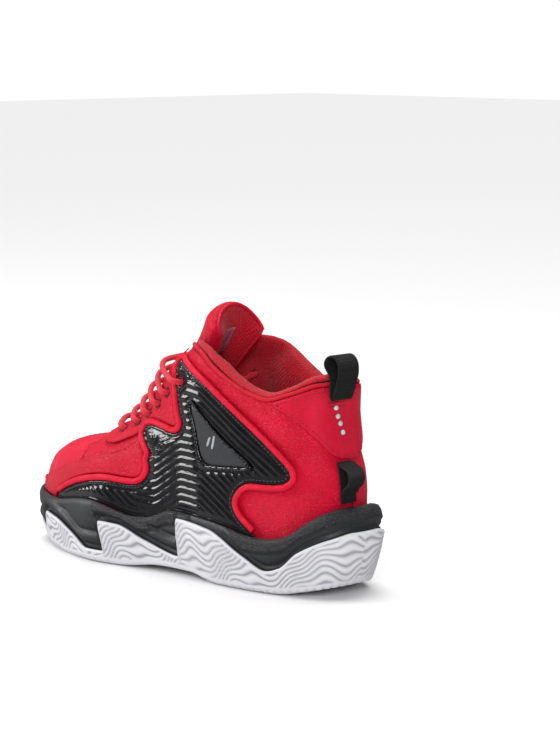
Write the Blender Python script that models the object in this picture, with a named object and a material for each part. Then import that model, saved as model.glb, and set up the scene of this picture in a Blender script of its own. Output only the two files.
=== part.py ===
"""Basketball high top, left foot: an assembly of sewn, moulded and cemented pieces.

Lengths are in drawing units; MM is the size of one unit in metres. Toe at -X, lateral side at -Y.
A place on the upper is a turn s (0 heel, 0.25 lateral, 0.5 toe, -0.25 medial) and a height z.
"""
import bmesh
import bpy
import numpy as np
from mathutils.geometry import delaunay_2d_cdt

MM = 0.00095
ORIGIN = (4.95, 0.03, 0.0)

# Centre lines of the foot form, front and back, by height
FRONT_Z = [8, 30, 46, 60, 70, 77, 82, 91, 107, 126, 143, 158, 176]
FRONT_X = [-149, -153, -154, -148, -135, -117, -91, -68, -43, -26, -12, 10, 24]
BACK_Z = [8, 30, 50, 75, 100, 125, 140, 160]
BACK_X = [145, 151, 155, 154, 148, 144, 144, 146]

# Half widths of the foot form by station along X and level in Z
STATION = [-130, -100, -60, -20, 25, 75, 125]
LEVEL = [8, 30, 60, 90, 120, 155]
LATERAL = [
    [46, 50, 50, 43, 37, 40, 41],
    [49, 53, 53, 45, 39, 42, 43],
    [45, 49, 50, 45, 40, 41, 42],
    [32, 38, 43, 42, 40, 39, 38],
    [26, 30, 36, 38, 39, 39, 38],
    [26, 30, 34, 36, 38, 40, 39],
]
MEDIAL = [
    [44, 48, 48, 40, 34, 38, 39],
    [46, 50, 50, 42, 37, 41, 44],
    [42, 46, 48, 43, 38, 41, 43],
    [32, 38, 42, 42, 39, 39, 38],
    [26, 30, 36, 38, 38, 39, 38],
    [26, 30, 34, 36, 38, 40, 39],
]
TOE_SWING = 8.0
BLUNT = 2.8
GIRTH = 720.0

# Leather stack: distances outward from the foot form
BASE_OUT, BASE_IN = 0.0, -1.5
OVER_IN, OVER_OUT = 1.1, 2.4
STIFF_OUT, STIFF_IN = -3.1, -3.8
LINING_OUT, LINING_THICK = 4.9, 0.9
FOAM_DEPTH = 4.6
COLLAR_BAND = 34.0
SEWN_GAP = 0.35

# Sole
FLOOR_X = [-158, -110, -60, 0, 60, 120, 150]
FLOOR_Z = [25, 16, 13, 15, 19, 22, 22]
GROUND_X = [-158, -130, -108, -80, -30, 10, 40, 70, 115, 140, 152, 168]
GROUND_Z = [14, 6, 2, 0, 0, 4, 4, 0, 0, 4, 8, 13]
WALL_H = [0, 3, 10, 22, 36, 50, 62]
WALL_SHARE = [0.68, 0.92, 1.0, 1.0, 1.0, 0.8, 0.55]
FLARE_S = [0, 0.06, 0.12, 0.2, 0.3, 0.4, 0.5]
FLARE = [13.5, 13, 10.5, 8.5, 8, 7.5, 7]
RIM_S = [0, 0.04, 0.071, 0.098, 0.118, 0.141, 0.187, 0.225, 0.25, 0.265, 0.306, 0.352, 0.415, 0.5]
RIM_Z = [61, 61, 58, 50, 40, 37, 43, 45, 38, 37, 44, 38, 37, 43]
LOBE_S = [0, 0.03, 0.062, 0.095, 0.114, 0.128, 0.148, 0.176, 0.206,
          0.213, 0.248, 0.27, 0.286, 0.293, 0.308, 0.322, 0.345, 0.362, 0.376, 0.39, 0.5]
LOBE_Z = [45, 45, 41, 31, 19, 16, 24, 38, 41, 14, 22, 30, 31, 9, 9, 17, 25, 26, 14, 11, 19]
LOBE_EDGES = [0.206, 0.213, 0.286, 0.293]
LOBE_SLANT = 0.00036
OUTSOLE_WALL, OUTSOLE_FLOOR = 2.2, 4.0
CEMENT = 0.9

# Collar and throat edges
TOP_S = [0, 0.076, 0.131, 0.16, 0.188, 0.219, 0.269, 0.33, 0.386]
TOP_Z = [141, 140, 133, 129, 132, 138, 147, 156, 159]
THROAT_Z = [86.4, 87.2, 88.5, 91, 95, 100, 110, 120, 137, 150, 160]
THROAT_S = [0.5, 0.475, 0.452, 0.43, 0.415, 0.403, 0.393, 0.387, 0.377, 0.377, 0.386]
SEAM = [(0.332, 40), (0.334, 60), (0.345, 73), (0.372, 79), (0.412, 84), (0.442, 89.5)]

# Lace
EYELET_Z = [92.5, 99.5, 107, 115.5, 124.5, 134]
EYELET_S = [0.383, 0.371, 0.363, 0.353, 0.342, 0.318]
EYELET_R = 3.1
LACE_R = 1.9
LACE_OVER, LACE_OVER_PIPING = 4.8, 6.8
LACE_BELOW_LINING = 4.1
LACE_UNDER = -LINING_OUT - LACE_BELOW_LINING
LACE_CROWN = 1.6
LACE_RISE = [6, 8, 10, 12, 13, 11]

# Lateral and medial side panel, front edge then rear edge, as (x, z)
PANEL_FRONT = [(-101, 41), (-79, 51), (-47, 59), (-22, 58), (-9, 59), (0, 67), (1, 76), (-8, 90), (-13, 96),
               (-8, 101), (9, 100), (25, 97), (32, 105), (28, 111), (24, 124), (20, 138), (19, 147)]
PANEL_REAR = [(24, 149), (46, 140), (76, 123), (105, 103), (125, 85), (128, 79), (122, 74), (105, 73),
              (91, 73), (82, 64), (80, 57), (85, 48), (98, 39)]
PIPING_R = 1.7

RED = (0.50, 0.008, 0.03)
DEEP_RED = (0.36, 0.004, 0.012)
BLACK = (0.006, 0.006, 0.008)
CHARCOAL = (0.035, 0.036, 0.042)
WHITE = (0.72, 0.72, 0.76)


# ---------------------------------------------------------------- foot form

def curve(knots, values, at):
    """Smooth curve through the knots, without overshoot."""
    k = np.asarray(knots, float)
    v = np.asarray(values, float)
    at = np.clip(np.asarray(at, float), k[0], k[-1])
    step = np.diff(k)
    slope = np.diff(v) / step
    m = np.zeros_like(v)
    m[0], m[-1] = slope[0], slope[-1]
    for i in range(1, len(k) - 1):
        if slope[i - 1] * slope[i] > 0:
            w1 = 2 * step[i] + step[i - 1]
            w2 = step[i] + 2 * step[i - 1]
            m[i] = (w1 + w2) / (w1 / slope[i - 1] + w2 / slope[i])
    i = np.clip(np.searchsorted(k, at, side="right") - 1, 0, len(k) - 2)
    h = step[i]
    t = (at - k[i]) / h
    rise = (2 * t**3 - 3 * t**2 + 1) * v[i] + (t**3 - 2 * t**2 + t) * h * m[i]
    return rise + (3 * t**2 - 2 * t**3) * v[i + 1] + (t**3 - t**2) * h * m[i + 1]


def smooth(t):
    t = np.clip(t, 0, 1)
    return t * t * (3 - 2 * t)


def half_width(rows, x, z):
    """Half width of the foot form from a station by level table."""
    levels = np.asarray(LEVEL, float)
    z = np.clip(z, levels[0], levels[-1])
    i = np.clip(np.searchsorted(levels, z, side="right") - 1, 0, len(levels) - 2)
    t = (z - levels[i]) / (levels[i + 1] - levels[i])
    t = 0.5 * smooth(t) + 0.5 * t
    widths = np.stack([curve(STATION, row, x) for row in rows])
    low = np.take_along_axis(widths, i[None], 0)[0]
    high = np.take_along_axis(widths, i[None] + 1, 0)[0]
    return low * (1 - t) + high * t


def bluntness(s, z):
    """Ring exponent: blunt at the toe and heel, rounder over the instep."""
    front = (1 - np.cos(2 * np.pi * s)) / 2
    return BLUNT - 0.7 * front * smooth((z - 70) / 30)


def ring(s, z):
    """Point of the foot form at turn s and height z."""
    s, z = np.broadcast_arrays(np.asarray(s, float), np.asarray(z, float))
    n = bluntness(s, z)
    quarter = np.floor(np.mod(s, 1.0) * 4)
    t = np.mod(s, 1.0) * 4 - quarter
    a = (quarter + t ** (n / 2) / (t ** (n / 2) + (1 - t) ** (n / 2))) * np.pi / 2
    front, back = curve(FRONT_Z, FRONT_X, z), curve(BACK_Z, BACK_X, z)
    ca, sa = np.cos(a), np.sin(a)
    x = back + (front - back) * (1 - np.sign(ca) * np.abs(ca) ** (2 / n)) / 2
    w = np.where(sa > 0, -half_width(LATERAL, x, z), half_width(MEDIAL, x, z))
    y = TOE_SWING * smooth((-x - 30) / 110) + w * np.abs(sa) ** (2 / n)
    return np.stack([x, y, z + 0 * x], -1)


def unit(v):
    return v / np.maximum(np.linalg.norm(v, axis=-1, keepdims=True), 1e-9)


def outward(s, z):
    """Level direction away from the foot."""
    d = ring(np.asarray(s) + 2e-3, z) - ring(np.asarray(s) - 2e-3, z)
    return unit(np.stack([-d[..., 1], d[..., 0], 0 * d[..., 0]], -1))


def slopes(s, z):
    """How the foot form moves per unit of turn and per unit of height."""
    around = (ring(s + 1e-3, z) - ring(s - 1e-3, z)) / 2e-3
    rising = (ring(s, z + 0.3) - ring(s, z - 0.3)) / 0.6
    return around, rising


def to_pattern(s, z, move):
    """Change of turn and height that makes a small move along the foot form."""
    around, rising = slopes(s, z)
    aa, bb, ab = (around**2).sum(-1), (rising**2).sum(-1), (around * rising).sum(-1)
    am, bm = (around * move).sum(-1), (rising * move).sum(-1)
    share = aa * bb - ab**2
    return np.stack([(bb * am - ab * bm) / share, (aa * bm - ab * am) / share], -1)


def facing(s, z):
    """Outward normal of the foot form."""
    around, rising = slopes(s, z)
    normal = unit(np.cross(around, rising))
    return normal * np.sign((normal * outward(s, z)).sum(-1, keepdims=True) + 1e-9)


def surface(s, z, off):
    """Point at a distance off the foot form, along its normal."""
    s = np.asarray(s, float)
    z = np.asarray(z, float)
    return ring(s, z) + facing(s, z) * np.asarray(off, float)[..., None]


def turn_at(x, z):
    """Lateral turn at which the ring at height z reaches x."""
    low, high = np.zeros_like(x), np.full_like(x, 0.5)
    for _ in range(30):
        mid = (low + high) / 2
        past = ring(mid, z)[..., 0] > x
        low = np.where(past, mid, low)
        high = np.where(past, high, mid)
    return (low + high) / 2


# ---------------------------------------------------------------- edge lines

def fold(s):
    """Turn measured from the heel on either side, 0 to 0.5."""
    s = np.mod(np.asarray(s, float), 1.0)
    return np.minimum(s, 1 - s)


def topline(s):
    return curve(TOP_S, TOP_Z, fold(s))


def rim(s):
    return curve(RIM_S, RIM_Z, fold(s))


def floor_height(x):
    return curve(FLOOR_X, FLOOR_Z, x)


def ground(x):
    return curve(GROUND_X, GROUND_Z, x)


def base_edge(s):
    """Height of the upper's lower edge inside the midsole cup."""
    return floor_height(ring(s, 20)[..., 0]) + 2.2


def rail(s_from, s_to, height, count):
    """Edge line that follows a height function."""
    s = np.linspace(s_from, s_to, count)
    return np.stack([s, height(s)], -1)


def side_line(points):
    """Lateral (x, z) points as (turn, height)."""
    p = np.asarray(points, float)
    return np.stack([turn_at(p[:, 0], p[:, 1]), p[:, 1]], -1)


def ease(line, rounds=2):
    """Corner-cut an open line, keeping its ends."""
    for _ in range(rounds):
        near = 0.75 * line[:-1] + 0.25 * line[1:]
        far = 0.25 * line[:-1] + 0.75 * line[1:]
        mixed = np.stack([near, far], 1).reshape(-1, line.shape[1])
        line = np.concatenate([line[:1], mixed[1:-1], line[-1:]])
    return line


def even(line, step):
    """Line with points one step apart on the foot form."""
    places = surface(line[:, 0], line[:, 1], np.zeros(len(line)))
    run = np.concatenate([[0], np.cumsum(np.linalg.norm(np.diff(places, axis=0), axis=1))])
    at = np.linspace(0, run[-1], int(run[-1] / step) + 1)
    return np.stack([np.interp(at, run, line[:, 0]), np.interp(at, run, line[:, 1])], -1)


def beside(line, distance):
    """Line parallel to another on the foot form, at a distance to its right in (turn, height)."""
    s, z = line[:, 0], line[:, 1]
    along = unit(np.gradient(ring(s, z), axis=0))
    right = np.cross(facing(s, z), along)
    moved = line + to_pattern(s, z, right * distance)
    a = surface(line[:, 0], line[:, 1], np.zeros(len(line)))
    b = surface(moved[:, 0], moved[:, 1], np.zeros(len(line)))
    gaps = np.linalg.norm(b[:, None] - a[None], axis=-1).min(1)
    return moved[gaps > 0.93 * abs(distance)]


def mirror(line):
    return line * np.array([-1.0, 1.0])


def join(*lines):
    return np.concatenate(lines)


# ---------------------------------------------------------------- mesh building

def material(name, colour, roughness):
    made = bpy.data.materials.get(name) or bpy.data.materials.new(name)
    made.use_nodes = True
    shader = made.node_tree.nodes["Principled BSDF"]
    shader.inputs["Base Color"].default_value = (*colour, 1)
    shader.inputs["Roughness"].default_value = roughness
    return made


def solid(name, points, faces, look, pivot=(0, 0, 0)):
    """Object from millimetre points, with its origin at a pivot."""
    pivot = np.asarray(pivot, float) - ORIGIN
    points = np.asarray(points, float) - ORIGIN - pivot
    mesh = bpy.data.meshes.new(name)
    mesh.from_pydata((points * MM).tolist(), [], [list(map(int, f)) for f in faces])
    work = bmesh.new()
    work.from_mesh(mesh)
    bmesh.ops.recalc_face_normals(work, faces=work.faces)
    work.to_mesh(mesh)
    work.free()
    mesh.materials.append(look)
    made = bpy.data.objects.new(name, mesh)
    made.location = (pivot * MM).tolist()
    bpy.context.scene.collection.objects.link(made)
    return made


def inside(points, loop):
    """Which points lie inside a closed loop."""
    x, y = points[:, 0][:, None], points[:, 1][:, None]
    x1, y1 = loop[:, 0][None], loop[:, 1][None]
    x2, y2 = np.roll(x1, -1), np.roll(y1, -1)
    crosses = (y1 > y) != (y2 > y)
    at = x1 + (y - y1) * (x2 - x1) / np.where(y2 == y1, 1e-12, y2 - y1)
    return (crosses & (x < at)).sum(1) % 2 == 1


def divide(loop, spacing):
    """Closed loop with points neither crowded nor further apart than the spacing."""
    kept = [loop[0]]
    for point in loop[1:]:
        pair = np.array([kept[-1], point])
        if np.linalg.norm(np.diff(surface(pair[:, 0], pair[:, 1], np.zeros(2)), axis=0)) > 0.5 * spacing:
            kept.append(point)
    out = []
    for a, b in zip(kept, kept[1:] + kept[:1]):
        pair = surface(np.array([a[0], b[0]]), np.array([a[1], b[1]]), np.zeros(2))
        count = max(1, int(np.ceil(np.linalg.norm(pair[1] - pair[0]) / spacing)))
        out += [a + (b - a) * k / count for k in range(count)]
    return np.array(out)


HEIGHTS = np.arange(6, 175, 1.0)
TURNS = np.arange(-0.5, 1.001, 0.01)
RISE = ring(TURNS[:, None], HEIGHTS[None, :])
RISE = np.linalg.norm(np.diff(RISE, axis=1), axis=-1)
RISE = np.concatenate([np.zeros((len(TURNS), 1)), np.cumsum(RISE, 1)], 1)


def flatten(line):
    """Rough flat pattern of the foot form, for even triangles."""
    i = np.clip((line[:, 0] - TURNS[0]) / 0.01, 0, len(TURNS) - 1.001)
    j = np.clip(line[:, 1] - HEIGHTS[0], 0, len(HEIGHTS) - 1.001)
    a, b = i.astype(int), j.astype(int)
    u, v = i - a, j - b
    low = RISE[a, b] * (1 - v) + RISE[a, b + 1] * v
    high = RISE[a + 1, b] * (1 - v) + RISE[a + 1, b + 1] * v
    return np.stack([line[:, 0] * GIRTH, low * (1 - u) + high * u], -1)


def scatter(loop, holes, spacing):
    """Inner points of a loop, about one spacing apart."""
    lo, hi = loop.min(0), loop.max(0)
    s = np.arange(lo[0], hi[0], 3.0 / GIRTH)
    z = np.arange(lo[1], hi[1], 1.2)
    grid = np.stack(np.meshgrid(s, z), -1).reshape(-1, 2)
    flat = flatten(grid)
    keep = inside(flat, flatten(loop))
    for hole in holes:
        keep &= ~inside(flat, flatten(hole))
    grid = grid[keep]
    places = surface(grid[:, 0], grid[:, 1], np.zeros(len(grid)))
    edge = surface(loop[:, 0], loop[:, 1], np.zeros(len(loop)))
    room = np.linalg.norm(places[:, None] - edge[None], axis=-1).min(1) > 0.62 * spacing
    for hole in holes:
        ring_points = surface(hole[:, 0], hole[:, 1], np.zeros(len(hole)))
        room &= np.linalg.norm(places[:, None] - ring_points[None], axis=-1).min(1) > 0.5 * spacing
    grid, places = grid[room], places[room]
    chosen = []
    free = np.ones(len(grid), bool)
    for i in range(len(grid)):
        if free[i]:
            chosen.append(i)
            free &= np.linalg.norm(places - places[i], axis=-1) > spacing
    return grid[chosen]


def triangles(loop, holes, inner):
    """Triangles of a loop with holes, over loop, hole and inner points."""
    everything = np.concatenate([loop, *holes, inner])
    flat = flatten(everything)
    edges = []
    start = 0
    for line in [loop, *holes]:
        n = len(line)
        edges += [(start + k, start + (k + 1) % n) for k in range(n)]
        start += n
    found = delaunay_2d_cdt([tuple(p) for p in flat], edges, [], 0, 1e-6)
    origin = [ids[0] for ids in found[3]]
    faces = np.array([[origin[v] for v in face] for face in found[2]])
    centre = flat[faces].mean(1)
    keep = inside(centre, flat[: len(loop)])
    start = len(loop)
    for hole in holes:
        keep &= ~inside(centre, flat[start:start + len(hole)])
        start += len(hole)
    return everything, faces[keep]


def close_layers(count, faces):
    """Faces of a closed body from a triangulated layer and its copy."""
    body = [tuple(f) for f in faces] + [tuple(count + v for v in f[::-1]) for f in faces]
    directed = {(f[i], f[(i + 1) % 3]) for f in faces.tolist() for i in range(3)}
    for a, b in directed:
        if (b, a) not in directed:
            body.append((b, a, count + a, count + b))
    return body


def patch(name, loop, inner_off, outer_off, look, holes=(), spacing=10.0):
    """Closed sheet on the foot form between two distances, over an edge loop."""
    loop = divide(loop, spacing * 0.8)
    where, faces = triangles(loop, list(holes), scatter(loop, holes, spacing))
    layers = []
    for off in (outer_off, inner_off):
        depth = off(where[:, 0], where[:, 1]) if callable(off) else np.full(len(where), float(off))
        layers.append(surface(where[:, 0], where[:, 1], depth))
    return solid(name, np.concatenate(layers), close_layers(len(where), faces), look)


def eyelet(s, z, radius):
    """Round hole outline on the foot form."""
    a = np.arange(8)[:, None] * np.pi / 4
    level = unit(slopes(s, z)[0])
    across = np.cross(facing(s, z), level)
    move = radius * (np.cos(a) * level + np.sin(a) * across)
    return np.array([s, z]) + to_pattern(s, z, move)


def frames(path, closed):
    """Tangents and a steady side direction along a path."""
    if closed:
        ahead = np.roll(path, -1, 0) - np.roll(path, 1, 0)
    else:
        ahead = np.gradient(path, axis=0)
    ahead = unit(ahead)
    side = np.zeros_like(path)
    first = np.cross(ahead[0], [0.0, 0.0, 1.0])
    side[0] = first / np.linalg.norm(first)
    for i in range(1, len(path)):
        step = side[i - 1] - ahead[i] * (side[i - 1] @ ahead[i])
        side[i] = step / np.linalg.norm(step)
    return ahead, side


def sweep(name, sections, look, closed=False, pivot=(0, 0, 0)):
    """Closed body from a cross-section ring at each path point."""
    n, m = sections.shape[:2]
    faces = []
    for i in range(n if closed else n - 1):
        j = (i + 1) % n
        for k in range(m):
            h = (k + 1) % m
            faces.append((i * m + k, i * m + h, j * m + h, j * m + k))
    if not closed:
        faces.append(tuple(range(m)))
        faces.append(tuple((n - 1) * m + k for k in range(m)))
    return solid(name, sections.reshape(-1, 3), faces, look, pivot)


def tube(name, path, radius, look, sides=8, closed=False):
    """Round cord along a path."""
    ahead, side = frames(path, closed)
    up = np.cross(side, ahead)
    a = np.arange(sides) * 2 * np.pi / sides
    around = side[:, None] * np.cos(a)[None, :, None] + up[:, None] * np.sin(a)[None, :, None]
    return sweep(name, path[:, None] + radius * around, look, closed)


def band(name, path, width, thickness, look, closed=False, pivot=(0, 0, 0)):
    """Flat webbing whose path lies in a plane across Y."""
    if closed:
        ahead = unit(np.roll(path, -1, 0) - np.roll(path, 1, 0))
    else:
        ahead = unit(np.gradient(path, axis=0))
    up = np.cross(ahead, [0.0, 1.0, 0.0])
    across = np.array([0.0, width / 2, 0.0])
    t = up * thickness / 2
    corners = np.stack([path + across + t, path - across + t, path - across - t, path + across - t], 1)
    return sweep(name, corners, look, closed, pivot)


# ---------------------------------------------------------------- sole

def sole_face(s, z, off):
    """Outer face of the sole at turn s and height z, moved out by off."""
    base = ring(s, np.clip(z, 8, 60))
    height = np.maximum(z - ground(base[..., 0]), 0)
    reach = curve(FLARE_S, FLARE, fold(s)) * curve(WALL_H, WALL_SHARE, height)
    face = base + outward(s, np.clip(z, 8, 60)) * (reach + off)[..., None]
    face[..., 2] = z
    return face


def columns(count, extra):
    """Turns of the sole's columns, the same on both sides."""
    half = set(np.round(np.linspace(0, 0.5, count // 2 + 1), 5)) | set(extra)
    half = sorted(half)
    kept = [half[0]]
    for s in half[1:]:
        if s - kept[-1] > 0.0045 or s in extra or s == 0.5:
            kept.append(s)
    return np.array(kept + [1 - s for s in reversed(kept[1:-1])])


def across_cap(edge, height, steps, first_index, faces, points):
    """Fill between the two sides of a sole ring, adding points and faces."""
    n = len(edge)
    half = n // 2
    rows = {0: [first_index], half: [first_index + half]}
    for i in range(1, half):
        left, right = edge[i], edge[n - i]
        row = [first_index + i]
        for k in range(1, steps):
            p = left + (right - left) * k / steps
            p[2] = height(p[0])
            row.append(len(points))
            points.append(p)
        row.append(first_index + n - i)
        rows[i] = row
    for i in range(half):
        a, b = rows[i], rows[i + 1]
        if len(a) == 1:
            faces += [(a[0], b[k], b[k + 1]) for k in range(len(b) - 1)]
        elif len(b) == 1:
            faces += [(a[k], b[0], a[k + 1]) for k in range(len(a) - 1)]
        else:
            faces += [(a[k], b[k], b[k + 1], a[k + 1]) for k in range(len(a) - 1)]


def vessel(name, rings, under, over, look, steps=4):
    """Closed body from stacked rings with a filled underside and a filled top."""
    n = len(rings[0])
    points = [p for r in rings for p in r]
    faces = []
    for j in range(len(rings) - 1):
        for i in range(n):
            h = (i + 1) % n
            faces.append((j * n + i, j * n + h, (j + 1) * n + h, (j + 1) * n + i))
    across_cap(rings[0], under, steps, 0, faces, points)
    across_cap(rings[-1], over, steps, (len(rings) - 1) * n, faces, points)
    return solid(name, points, faces, look)


def ring_at(s, height, off, slanted=False):
    """Ring of the sole face at a height given per column."""
    turns = s
    if slanted:
        turns = s + LOBE_SLANT * np.sin(2 * np.pi * s) * (height - 10)
    return sole_face(turns, height, off)


def outsole(look):
    s = columns(80, LOBE_EDGES)
    foot = ground(ring(s, 20)[..., 0])
    top = np.maximum(curve(LOBE_S, LOBE_Z, fold(s)), foot + OUTSOLE_FLOOR + 2.5)
    shelf = foot + OUTSOLE_FLOOR
    rings = [ring_at(s, foot, -2.5 + 0 * s, True)]
    for share in (0.0, 0.3, 0.65, 1.0):
        level = foot + 1.2 + (top - foot - 1.2) * share
        rings.append(ring_at(s, level, 0 * s, True))
    for share in (1.0, 0.65, 0.3, 0.0):
        rings.append(ring_at(s, shelf + (top - shelf) * share, -OUTSOLE_WALL + 0 * s, True))
    rings[0][:, 2] = ground(rings[0][:, 0])
    rings[-1][:, 2] = ground(rings[-1][:, 0]) + OUTSOLE_FLOOR
    return vessel("outsole", rings, ground, lambda x: ground(x) + OUTSOLE_FLOOR, look)


def midsole(look):
    s = columns(80, [])
    reach = -OUTSOLE_WALL - CEMENT
    low = ground(ring(s, 20)[..., 0]) + OUTSOLE_FLOOR + CEMENT
    top = rim(s)
    rings = [ring_at(s, low, reach - 3.0 + 0 * s)]
    for share, tuck in ((0.1, 0.5), (0.4, 0.0), (0.72, 0.0)):
        level = low + (top - 3 - low) * share
        rings.append(ring_at(s, level, reach - tuck + 0 * s))
    rings.append(ring_at(s, top - 3, reach + 0 * s))
    outer = ring_at(s, top - 3, reach + 0 * s)
    inner = surface(s, top - 0.5, 0.8 + 0 * s)
    crest = (outer + inner) / 2
    crest[:, 2] = top
    rings += [crest, inner]
    floor_z = floor_height(ring(s, 20)[..., 0])
    for share in (0.5, 0.0):
        level = floor_z + (top - floor_z) * share
        rings.append(ring(s, level) + outward(s, level) * 0.8)
    rings[0][:, 2] = ground(rings[0][:, 0]) + OUTSOLE_FLOOR + CEMENT
    rings[-1][:, 2] = floor_height(rings[-1][:, 0])
    return vessel("midsole", rings, lambda x: ground(x) + OUTSOLE_FLOOR + CEMENT, floor_height, look)


def board(name, lift, thickness, inset, look):
    """Flat layer on the floor of the cup, inside the lining."""
    s = columns(72, [])
    level = base_edge(s)
    edge = ring(s, level) - outward(s, level) * inset
    low, high = edge.copy(), edge.copy()
    low[:, 2] = floor_height(edge[:, 0]) + lift
    high[:, 2] = floor_height(edge[:, 0]) + lift + thickness
    return vessel(name, [low, high], lambda x: floor_height(x) + lift,
                  lambda x: floor_height(x) + lift + thickness, look)


def shank_plate(look):
    """Stiffener strip under the arch, between the midsole and the sole board."""
    x = np.linspace(-30, 78, 13)
    half = curve([-30, 0, 40, 78], [15, 10, 10, 17], x)
    middle = ring(0.25, 24)[1] + ring(-0.25, 24)[1]
    rows = []
    for lift in (0.4, 1.6):
        for side in (-1, 1):
            rows.append(np.stack([x, middle / 2 + side * half, floor_height(x) + lift], -1))
    corners = np.stack([rows[0], rows[1], rows[3], rows[2]], 1)
    return sweep("shank_plate", corners, look)


# ---------------------------------------------------------------- upper

def collar_share(s, z):
    """How much of the collar padding is present: 1 at the ankle, 0 at the eyestay and low down."""
    rising = smooth((z - topline(s) + COLLAR_BAND + 6) / 12)
    return rising * smooth((0.305 - fold(s)) / 0.05)


def lining_out(s, z):
    return -LINING_OUT - FOAM_DEPTH * collar_share(s, z)


def lining_in(s, z):
    return lining_out(s, z) - LINING_THICK


def throat_rail(z_from, z_to, inset=0.0):
    z = np.linspace(z_from, z_to, 12)
    return np.stack([curve(THROAT_Z, THROAT_S, z) - inset, z], -1)


def seam_line(shift):
    line = ease(np.array(SEAM), 2)
    start = np.array([[SEAM[0][0], float(base_edge(SEAM[0][0]))]])
    return join(start, line) + np.array([shift, 0.0])


def quarter_loop(heel):
    """Edge of a lateral quarter, from its heel seam round to the vamp seam."""
    return join(
        rail(heel, 0.384, lambda s: topline(s) - 0.4, 20),
        throat_rail(157, 90.3, 0.0012),
        seam_line(-0.0015)[::-1],
        rail(0.33, heel, base_edge, 16),
    )


def vamp_loop():
    lateral = seam_line(0.0)
    heights = np.array([89.2, 88.5, 87.8, 87.2, 86.8])
    u_left = np.stack([curve(THROAT_Z, THROAT_S, heights), heights], -1)
    u_right = np.stack([1 - u_left[:, 0], u_left[:, 1]], -1)[::-1]
    medial = np.stack([1 - lateral[:, 0], lateral[:, 1]], -1)[::-1]
    low = rail(0.665, 0.335, base_edge, 18)
    return join(lateral[:-1], u_left, np.array([[0.5, 86.4]]), u_right, medial[1:], low)


def eyelets(rows, radius=EYELET_R):
    return [eyelet(EYELET_S[k], EYELET_Z[k], radius) for k in rows]


def flip_all(loops):
    return [mirror(loop) for loop in loops]


def panel_edge():
    """Front, top and rear edge of the side panel as (turn, height)."""
    return even(ease(side_line(PANEL_FRONT + PANEL_REAR), 3), 2.0)


def panel_loop():
    edge = panel_edge()
    return join(edge, rail(edge[-1, 0] - 0.004, edge[0, 0] + 0.002, lambda s: rim(s) + 1.2, 26))


def eyestay_loop(border):
    """Lace reinforcement between the throat and the side panel."""
    rising = border[: np.argmax(border[:, 1]) + 1]
    reach = rising[(rising[:, 1] > 93) & (rising[:, 1] < 150.5)]
    low = ease(side_line([(-64, 86.3), (-57, 82.5), (-45, 82.5), (-33, 87), (-23, 91)]), 2)
    return join(throat_rail(156.5, 91.5, 0.0012), low, reach)


def forefoot_loop(border):
    """Mudguard between the toe box and the side panel."""
    seam = ease(side_line([(-145, 46), (-136, 48), (-124, 51), (-106, 58), (-79, 66), (-60, 74), (-44, 76),
                           (-33, 79), (-24, 85), (-15, 88)]), 2)
    rising = border[: np.argmax(border[:, 1]) + 1]
    reach = rising[rising[:, 1] < 88][::-1]
    return join(seam, reach, rail(reach[-1, 0] + 0.006, seam[0, 0], lambda s: rim(s) + 1.2, 10))


def heel_tab_loop():
    side = ease(np.array([(0.158, 128.4), (0.14, 124), (0.115, 117), (0.09, 108), (0.067, 99), (0.052, 94),
                          (0.03, 91.6), (0.0, 91.2)]), 2)
    return join(rail(-0.156, 0.156, lambda s: topline(s) - 0.8, 22), side, mirror(side)[::-1][1:])


def badge_loop(grow):
    """Rounded triangle on the side panel, grown by a distance in millimetres."""
    corners = side_line([(38, 125), (98, 84), (52, 82)])
    middle = corners.mean(0)
    around, rising = slopes(*middle)
    arms = (corners - middle)[:, :1] * around + (corners - middle)[:, 1:] * rising
    arms *= 1 + grow / np.linalg.norm(arms, axis=1, keepdims=True)
    ring_points = middle + to_pattern(*middle, arms)
    closed = np.concatenate([ring_points, ring_points[:1]])
    halves = (closed[:-1] + closed[1:]) / 2
    loop = np.stack([halves, np.roll(ring_points, -1, 0)], 1).reshape(-1, 2)
    for _ in range(2):
        nxt = np.roll(loop, -1, 0)
        loop = np.stack([0.75 * loop + 0.25 * nxt, 0.25 * loop + 0.75 * nxt], 1).reshape(-1, 2)
    return loop


def binding(look):
    """Rolled edge over the collar, from throat corner to throat corner."""
    s = np.linspace(0.382, -0.382, 55)
    z = topline(s) + 3.0
    thick = -lining_in(s, topline(s))
    path = surface(s, z, -thick / 2)
    into = unit(surface(s, z, np.zeros(len(s))) - path)
    a = np.arange(8) * np.pi / 4
    wide = into[:, None] * (np.cos(a)[None, :, None] * (thick / 2 + 0.3)[:, None, None])
    tall = np.array([0.0, 0.0, 2.7]) * np.sin(a)[None, :, None]
    return sweep("collar_binding", path[:, None] + wide + tall, look)


def lace_row(k, side, forward):
    """Points down or up through an eyelet; forward means from above to below."""
    s, z = side * EYELET_S[k], EYELET_Z[k]
    depths = np.array([4.6 if k == 5 else 3.4, 1.0, -2.5, -7.0])
    points = surface(np.full(4, s), np.full(4, z), depths)
    return points if forward else points[::-1]


def lace_bar(k, side):
    """Bar over the tongue in row k, starting from one side."""
    start = EYELET_S[k] + 0.006
    s = np.linspace(start, 1 - start, 17)
    share = (fold(s) - start) / (0.5 - start)
    height = LACE_OVER_PIPING if k == 5 else LACE_OVER
    height = height + (LACE_CROWN - height) * smooth((share - 0.35) / 0.5)
    points = surface(s, EYELET_Z[k] + LACE_RISE[k] * np.sin(share * np.pi / 2), height)
    return points if side > 0 else points[::-1]


def lace_under(k, side):
    """Hidden run from row k to the next row down, on one side."""
    s = side * np.linspace(EYELET_S[k], EYELET_S[k - 1], 4)[1:-1]
    z = np.linspace(EYELET_Z[k], EYELET_Z[k - 1], 4)[1:-1]
    return surface(s, z, np.full(2, LACE_UNDER))


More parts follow.
